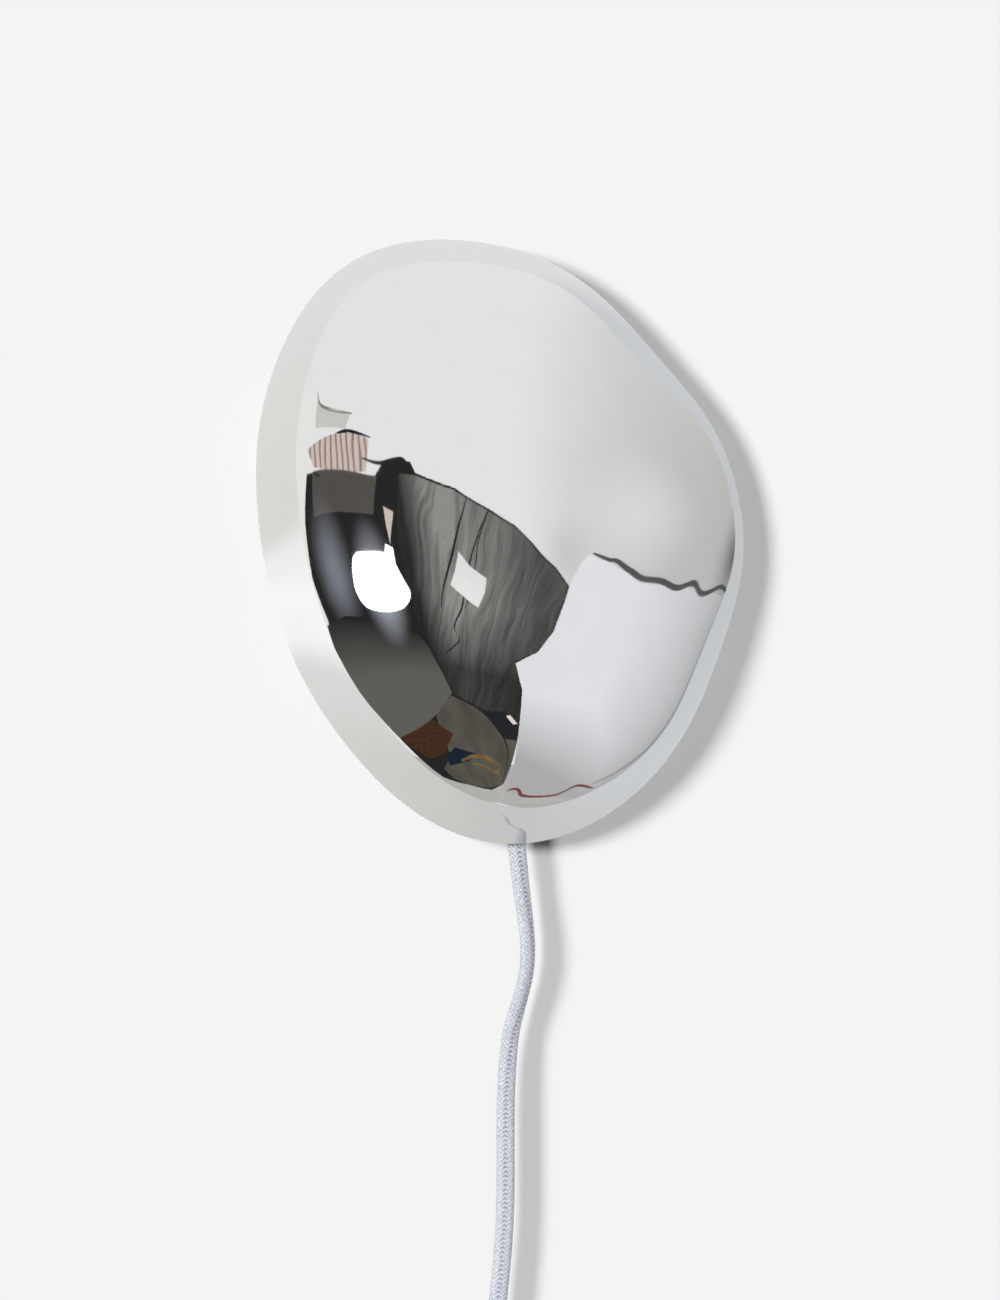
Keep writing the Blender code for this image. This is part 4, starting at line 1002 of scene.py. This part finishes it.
def make_mirrored_lead():
    """A glowing copy of the lead that only the steel sees, a painted reflection: down the wall and away to
    the left.
    """
    route = [(0, 8, -80)] + UPPER_ROUTE[3:]
    route += [(-40, 8, -420), (-120, 8, -560), (-260, 8, -800), (-700, 8, -1700), (-1500, 8, -3300)]
    line = spline(in_metres(route), 900)

    # Painted light and shade: paler where the surface faces left, darker where it faces right.
    def shaded(made, _):
        rightwards = made.part(made.node("NewGeometry", output="Normal"), 0)
        return made.blend(made.between(rightwards, 0, 1, -0.6, 1.0), (0.6, 0.6, 0.65), (0.3, 0.3, 0.34))

    mesh = grid_mesh("painted_lead_reflection", tube(line, (0, -1, 0), LEAD_WIDTH / 2, LEAD_DEPTH / 2, 12))
    mirrored = add_object("stage_mirrored_lead", mesh, glow("painted_lead_reflection", shaded))
    only_in_the_steel(mirrored)


def only_in_the_steel(thing):
    for kind in ("camera", "diffuse", "shadow", "transmission", "volume_scatter"):
        setattr(thing, "visible_" + kind, False)


def add_sun(name, towards, strength, spread_degrees, blocked_by=None, not_by=None, only_on=None):
    """Soft light from a direction, which isn't seen in the steel.

    Its shadow may be only one piece's, which it then doesn't light, or all but one piece's.
    It may also light one piece only.
    """
    data = bpy.data.lights.new(name, "SUN")
    data.energy = strength
    data.angle = math.radians(spread_degrees)
    sun = bpy.data.objects.new(name, data)
    sun.rotation_euler = Vector(towards).to_track_quat("Z", "Y").to_euler()
    sun.visible_glossy = False
    bpy.context.scene.collection.objects.link(sun)

    def link(kind, thing, included):
        group = bpy.data.collections.new(f"{name}_{kind}")
        group.objects.link(thing)
        group.collection_objects[0].light_linking.link_state = "INCLUDE" if included else "EXCLUDE"
        setattr(sun.light_linking, kind + "_collection", group)

    if blocked_by or not_by:
        link("blocker", blocked_by or not_by, bool(blocked_by))
    if blocked_by or only_on:
        link("receiver", blocked_by or only_on, bool(only_on))


def make_lights(lead):
    """The shade's shadow falls close beside it and the lead's a little further out, as in the photograph."""
    add_sun("key", (-0.75, -1, 0.2), 2.35, 16, not_by=lead)
    add_sun("key_on_lead", (-1.35, -1, 0.26), 2.4, 13, blocked_by=lead)
    add_sun("fill_on_lead", (0.6, -1, 0.15), 1.15, 30, only_on=lead)
    add_sun("behind", (-0.5, 1, 0.8), 1.5, 20)
    world = bpy.data.worlds.new("studio")
    bpy.context.scene.world = world
    world.use_nodes = True
    world.cycles.sampling_method = "NONE"
    made = Nodes(world.node_tree)
    rightwards = made.part(made.node("TexCoord", output="Generated"), 0)
    ceiling = {"Value": rightwards, "From Min": 0.4, "From Max": 1.1, "To Min": 0.83, "To Max": 0.5}
    ceiling = made.node("MapRange", ceiling, interpolation_type="SMOOTHSTEP")
    mixed = made.node("Background", {"Strength": 0.11})
    for seen_by, colour, strength in (("Camera", (1, 1, 1, 1), 0.91), ("Glossy", (1, 1, 0.985, 1), ceiling)):
        flag = made.node("LightPath", output=f"Is {seen_by} Ray")
        shade = made.node("Background", {"Color": colour, "Strength": strength})
        mixed = made.node("MixShader", {0: flag, 1: mixed, 2: shade})
    made.put(made.tree.nodes["World Output"].inputs["Surface"], mixed)


# ---------------------------------------------------------------- what the steel mirrors: a painted reflection on glowing cards

def smooth_outline(outline, count=6):
    """A closed curve through an outline's points."""
    points = np.array(outline, float)
    made = []
    for i in range(len(points)):
        a, b, c, d = points[i - 1], points[i], points[(i + 1) % len(points)], points[(i + 2) % len(points)]
        for t in np.arange(count) / count:
            bends = (2 * a - 5 * b + 4 * c - d) * t**2 + (3 * b - a - 3 * c + d) * t**3
            made.append(b + 0.5 * ((c - a) * t + bends))
    return np.array(made)


SEEN_FROM = 0.06  # metres out from the wall, in the middle of the shade


def card(name, far, finish, outline, smooth=False):
    """A glowing patch of the painted reflection, seen only in the steel: corners are (degrees right of
    straight out, degrees up). Its finish is a material or a colour."""
    finish = plain(name, *finish) if isinstance(finish, tuple) else finish
    edge = smooth_outline(outline) if smooth else np.array(outline, float)
    low, high = edge.min(0), edge.max(0)
    apart = 4.0  # degrees between the points inside
    inside = [(a, e) for a in np.arange(low[0], high[0], apart) for e in np.arange(low[1], high[1], apart)]
    flat = [Vector(point) for point in [*map(tuple, edge), *inside]]
    points, _, faces, _, _, _ = delaunay_2d_cdt(flat, [], [list(range(len(edge)))], 1, 1e-5)
    mesh = bpy.data.meshes.new(name)
    places = []
    for point in points:
        azimuth, elevation = math.radians(point[0]), math.radians(point[1])
        level, height = far * math.cos(elevation), far * math.sin(elevation)
        places.append((level * math.sin(azimuth), -SEEN_FROM - level * math.cos(azimuth), height))
    mesh.from_pydata(places, [], [tuple(face) for face in faces])
    layer = mesh.uv_layers.new(name="angles")
    for loop in mesh.loops:
        layer.data[loop.index].uv = points[loop.vertex_index] / 100
    made = add_object("stage_" + name, mesh, finish)
    only_in_the_steel(made)


def strip(name, far, finish, line, width):
    """A card along a line, of a width in degrees that fades to nothing at its ends."""
    points = np.array(line, float)
    along = np.gradient(points, axis=0)
    across = np.stack([-along[:, 1], along[:, 0]], 1)
    across /= np.linalg.norm(across, axis=1)[:, None]
    taper = np.sin(np.linspace(0.15, np.pi - 0.15, len(points)))[:, None] ** 0.5 * width / 2
    card(name, far, finish, np.concatenate([points + across * taper, (points - across * taper)[::-1]]), True)


def glow(name, colour_of):
    """A material that only shines, with the colour that colour_of builds from the card's own angles."""
    made = Finish(name)
    angles = made.node("UVMap", uv_map="angles")
    return made.surface(made.node("Emission", {"Color": colour_of(made, angles)}))


def plain(name, *colour, grain=0.2, contrast=0.07):
    def colour_of(made, angles):
        soft = made.noise(angles, grain)
        light, dark = (tuple(factor * part for part in colour) for factor in (1 + contrast, 1 - contrast))
        return made.blend(made.between(soft, 0, 1), dark, light)

    return glow(name, colour_of)


def graded(name, axis, start, stop, first, last):
    """Runs from one colour to another along one of the card's two angles, in hundreds of degrees."""
    def colour_of(made, angles):
        return made.blend(made.between(made.part(angles, axis), 0, 1, start, stop), first, last)

    return glow(name, colour_of)


def stone(made, angles):
    """Dark grey stone, palest left of its middle, with streaks that lean to the right."""
    right, up = made.part(angles, 0), made.part(angles, 1)
    wander = made.noise(angles, 0.25, 2.0)
    turned = made.node("Mapping", {"Vector": angles, "Rotation": (0, 0, math.radians(32))})
    sideways = made.node("CombineXYZ", {0: made.math("MULTIPLY", wander, 0.14)})
    bent = made.node("VectorMath", {0: turned, 1: sideways})
    stretched = made.node("Mapping", {"Vector": bent, "Scale": (1, 0.1, 1)})
    streaks = made.noise(stretched, 0.03, 7.0, 0.66, 0.4)
    veins = made.node("TexWave", {"Vector": stretched, "Scale": 2.6, "Distortion": 2.0, "Detail": 3.0})
    light = made.between(right, 0.05, 1, -0.28, -0.1)
    for factor, *runs in (
        (right, 1, 0.3, -0.05, 0.36), (up, 1, 0.14, -0.06, -0.27),
        (streaks, 0.5, 1.45, 0.32, 0.7), (veins, 0.7, 1, 0.0, 0.05),
    ):
        light = made.math("MULTIPLY", light, made.between(factor, *runs))
    return made.blend(light, (0.015, 0.015, 0.013), (0.29, 0.29, 0.275))


def board_shade(made, angles):
    """A pale board with painted shade, darker to the right and downwards."""
    right, up = made.part(angles, 0), made.part(angles, 1)
    dim = made.math("MAXIMUM", made.between(right, 0, 1, 0.6, 0.92), made.between(up, 1, 0, -0.62, -0.3))
    return made.blend(dim, (0.8, 0.81, 0.84), (0.44, 0.44, 0.45))


def pleats(made, angles):
    folds = made.node("TexWave", {"Vector": angles, "Scale": 9.0, "Distortion": 3.0, "Detail": 2.0})
    return made.blend(made.between(folds, 0, 1, 0.0, 0.5), (0.25, 0.2, 0.18), (0.66, 0.53, 0.49))


def soft_spot(name, far, centre, radius, colour, strength):
    """A round glowing patch of the painted reflection, which fades out towards its edge."""
    made = Finish(name)
    middle = (centre[0] / 100, centre[1] / 100, 0)
    angles = made.node("UVMap", uv_map="angles")
    away = made.node("VectorMath", {0: angles, 1: middle}, 1, operation="DISTANCE")
    fading = {"Value": away, "From Max": radius / 100, "To Min": strength, "To Max": 0.0}
    share = made.node("MapRange", fading, interpolation_type="SMOOTHSTEP")
    shine = made.node("Emission", {"Color": (*colour, 1)})
    made.surface(made.node("MixShader", {0: share, 1: made.node("BsdfTransparent"), 2: shine}))
    turn = np.radians(np.arange(0, 360, 15))
    outline = np.stack([centre[0] + radius * np.cos(turn), centre[1] + radius * np.sin(turn)], 1)
    card(name, far, made.material, outline)


def make_room():
    """A painted reflection of a dark room: a painted highlight of the key lamp on the left, stone in the
    middle and a pale board on the right.
    """
    card("room", 2.4, (0.021, 0.021, 0.021), [
        (-83, 6), (-60, 10), (-47, 13), (-41, 14), (-36, 18), (-30, 20), (-20, 21), (-18, 19), (-12, 19),
        (1, 19), (6, 18), (16, 16), (27, 13), (35, 8), (41, 4), (45, 0), (44, -3), (41, -10), (35, -16),
        (24, -21), (28, -30), (27, -50), (26, -58), (18, -78), (-22, -83), (-68, -77), (-88, -67),
        (-88, -48), (-93, -27), (-88, -18), (-90, -11), (-87, -2),
    ])
    card("floor", 2.6, (0.48, 0.475, 0.455), [
        (-100, -50), (-60, -66), (0, -66), (60, -62), (100, -50), (100, -89.9), (0, -89.9), (-100, -89.9),
    ])
    card("corner", 2.4, (0.6, 0.6, 0.57), [(-78, 24), (-74, 23), (-54, 26), (-57, 21), (-77, 17)])
    strip("corner_line", 2.38, (0.25, 0.25, 0.23), [(-79, 26), (-75, 23.5), (-64, 24.5), (-54, 26)], 1.0)
    card("shelf", 2.38, (0.09, 0.081, 0.073), [(-79, 7), (-40, 14), (-45, 5), (-69, 1), (-81, -1)])
    card("stone", 2.36, glow("stone", stone), [
        (-28, 17), (-18, 18.5), (-12, 18.5), (1, 18.5), (6, 17.5), (16, 15.5), (27, 12.5), (34.5, 7.7),
        (40.5, 3.8), (44.5, 0), (43.5, -3), (40.5, -10), (34.5, -16), (23.5, -20.5), (27, -29), (27, -48),
        (8, -43), (-21, -36), (-23, -28), (-29, -20), (-33, -10), (-33, 5),
    ])
    dark = (0.02, 0.021, 0.024)
    strip("vein_1", 2.34, dark, [(6, 17), (-1, 9), (-4, 5), (-12, -4), (-15, -9)], 0.9)
    strip("vein_2", 2.34, dark, [(15, 15), (6, 6), (1, -1), (-3, -8), (-9, -14), (-7, -18), (-17, -23)], 0.8)
    strip("vein_3", 2.34, dark, [(16, 15.5), (10, 9), (8, 5), (3, -3), (-1, -8)], 0.5)
    strip("branch", 2.34, dark, [(-47, 16.5), (-38, 17.5), (-30, 19.8), (-24, 21), (-19, 19)], 1.0)
    grey = graded("table", 1, -0.31, -0.165, (0.122, 0.12, 0.108), (0.012, 0.012, 0.013))
    card("table", 2.3, grey, [
        (-90, -19), (-76, -17.5), (-59, -17), (-44, -16), (-34, -18), (-28, -22), (-23, -30), (-20, -37),
        (-40, -46), (-88, -48), (-93, -27),
    ])
    card("lower", 2.3, plain("lower", 0.095, 0.09, 0.075, contrast=0.25), [
        (-21, -38), (-8, -40), (2, -44), (16, -54), (26, -53), (26, -58), (18, -78), (-22, -82), (-68, -77),
        (-78, -71), (-75, -66), (-50, -64), (-40, -46),
    ])
    strip("lower_edge", 2.28, dark, [(-20, -38), (-6, -41), (4, -45), (15, -53), (20, -62), (17, -76)], 1.2)
    card("black", 2.28, dark, [(2, -42.5), (18, -41), (27, -47), (20, -51), (9, -47)])
    card("square", 2.26, (0.8, 0.72, 0.7), [(18, -43), (21, -42), (26, -45), (23, -46)])
    card("wood", 2.26, plain("wood", 0.06, 0.028, 0.016, grain=0.008, contrast=0.8), [
        (-47, -47), (-32, -55), (-56, -62), (-78, -60), (-88, -48),
    ])
    card("cloth", 2.26, (0.012, 0.02, 0.035), [(-56, -63), (-38, -61), (-11, -65), (-30, -68), (-63, -67)])
    strip("rope", 2.25, plain("rope", 0.17, 0.11, 0.045, contrast=0.4), [
        (-44, -68), (-28, -66.5), (-11, -65.5), (4, -67), (12, -69.5), (4, -73), (-7, -71), (-25, -69.5),
    ], 2.2)
    # Painted light round the key lamp's painted highlight: a dim blue-grey glow to its left and a pale glow
    # over it.
    soft_spot("halo", 2.33, (-74, -9), 14, (0.25, 0.27, 0.31), 0.8)
    soft_spot("door_glow", 2.22, (-49, -10), 15, (0.75, 0.8, 0.9), 0.55)
    # The painted highlight of the key lamp, which the steel doesn't see as a lamp.
    door = (2.4, 2.45, 2.5)
    card("door", 2.2, door, [
        (-61, -5), (-54, -3.5), (-43, -2), (-39, -2), (-35, -5), (-32, -8.5), (-38, -12.5), (-50, -15),
        (-60, -15), (-64, -12.5), (-64, -9),
    ], True)
    card("door_top", 2.2, door, [(-41, 0), (-37, 0), (-37, -3), (-43, -3)])
    card("sliver", 2.2, (0.62, 0.52, 0.48), [(-38.5, 8), (-33, 8), (-38, 0.5), (-38.5, 3)])
    card("window", 2.2, (0.82, 0.82, 0.8), [
        (-1, 5.5), (1.5, 4.2), (4, 3), (12, 1), (10, -3), (6, -7), (2, -6), (-1, -5), (-8, -3), (-4.5, 0.5),
    ])
    card("pleats", 2.36, glow("pleats", pleats), [
        (-68, 17), (-59, 20), (-43, 22), (-46, 14), (-60, 10), (-78, 8), (-82, 11),
    ])
    strip("pleats_top", 2.35, dark, [(-62, 19), (-55, 21), (-43, 22.5)], 0.9)
    # Painted shade and a painted glare on the right: a soft grey patch, a pale glare and a dark patch far
    # out.
    soft_spot("dusk", 2.5, (44, 7), 9, (0.5, 0.5, 0.5), 0.4)
    soft_spot("glare", 2.52, (60, 12), 17, (0.8, 0.8, 0.79), 0.7)
    soft_spot("far_corner", 2.32, (90, -1), 13, (0.16, 0.16, 0.17), 0.95)
    strip("skirting", 2.2, (0.33, 0.33, 0.34), [(93, -6), (92, -12), (91, -25), (90, -40), (86, -55)], 2.2)
    card("board", 2.3, glow("board", board_shade), [
        (48, 5), (50, 6.2), (54, 4), (57, 2), (64, -2), (70, -3), (80, -6), (97, -11), (104, -22),
        (100, -60), (60, -80), (29, -82), (27, -70), (27, -50), (28, -30), (24, -21), (35, -16), (41, -10),
        (44, -3), (45, 0),
    ])
    strip("ledge", 2.2, (0.09, 0.09, 0.09), [
        (51, 6.3), (54, 4.6), (56, 4), (59, 1.6), (62, -0.6), (66, -1.6), (70, -3.5), (74, -3.2), (78, -6),
        (86, -6.5), (96, -10),
    ], 1.3)
    strip("cable", 2.2, (0.18, 0.065, 0.05), [
        (30, -81), (44, -77.5), (59, -79), (72, -75), (80, -68), (80, -60), (89, -57),
    ], 2.4)


# ---------------------------------------------------------------- everything

def dress_frame():
    """Every CAD node that still shows gets its finish and softened edges."""
    for name, node in frame["nodes"].items():
        if node.hide_render:
            continue
        node.data.materials.clear()
        node.data.materials.append(FINISHES[SLOT_OF[name]])
        edges = node.modifiers.new("soft_edges", "BEVEL")
        edges.width = 0.2 * MM
        edges.segments = 2
        edges.limit_method = "ANGLE"
        edges.angle_limit = math.radians(38)


bpy.context.scene.view_settings.view_transform = "Standard"
make_camera()
lead, lead_line, lead_length = make_lead()
make_shade()
make_switch()
make_sleeve("plug_strain_relief", (PLUG_X, -PLUG_FRONT, -505.9), 4.6, 6, 22)
make_sleeve("strain_relief", (0, -EXIT_FRONT, -56.3), 5.9, 4.9, 24, 4)
make_plug()
make_tie()
make_wall_side()
make_lamp()
make_wiring()
make_screws()
dress_frame()
make_wall_and_floor()
make_mirrored_lead()
make_lights(lead)
make_room()
pieces_on_lead = [thing for thing in bpy.data.objects if thing.name.removesuffix("_detail") in ON_THE_LEAD]
for thing in [lead, *pieces_on_lead]:
    thing.visible_glossy = False  # the steel shows the lead drawn for it instead, which doesn't end in a coil
    thing.visible_diffuse = False
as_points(lead_line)
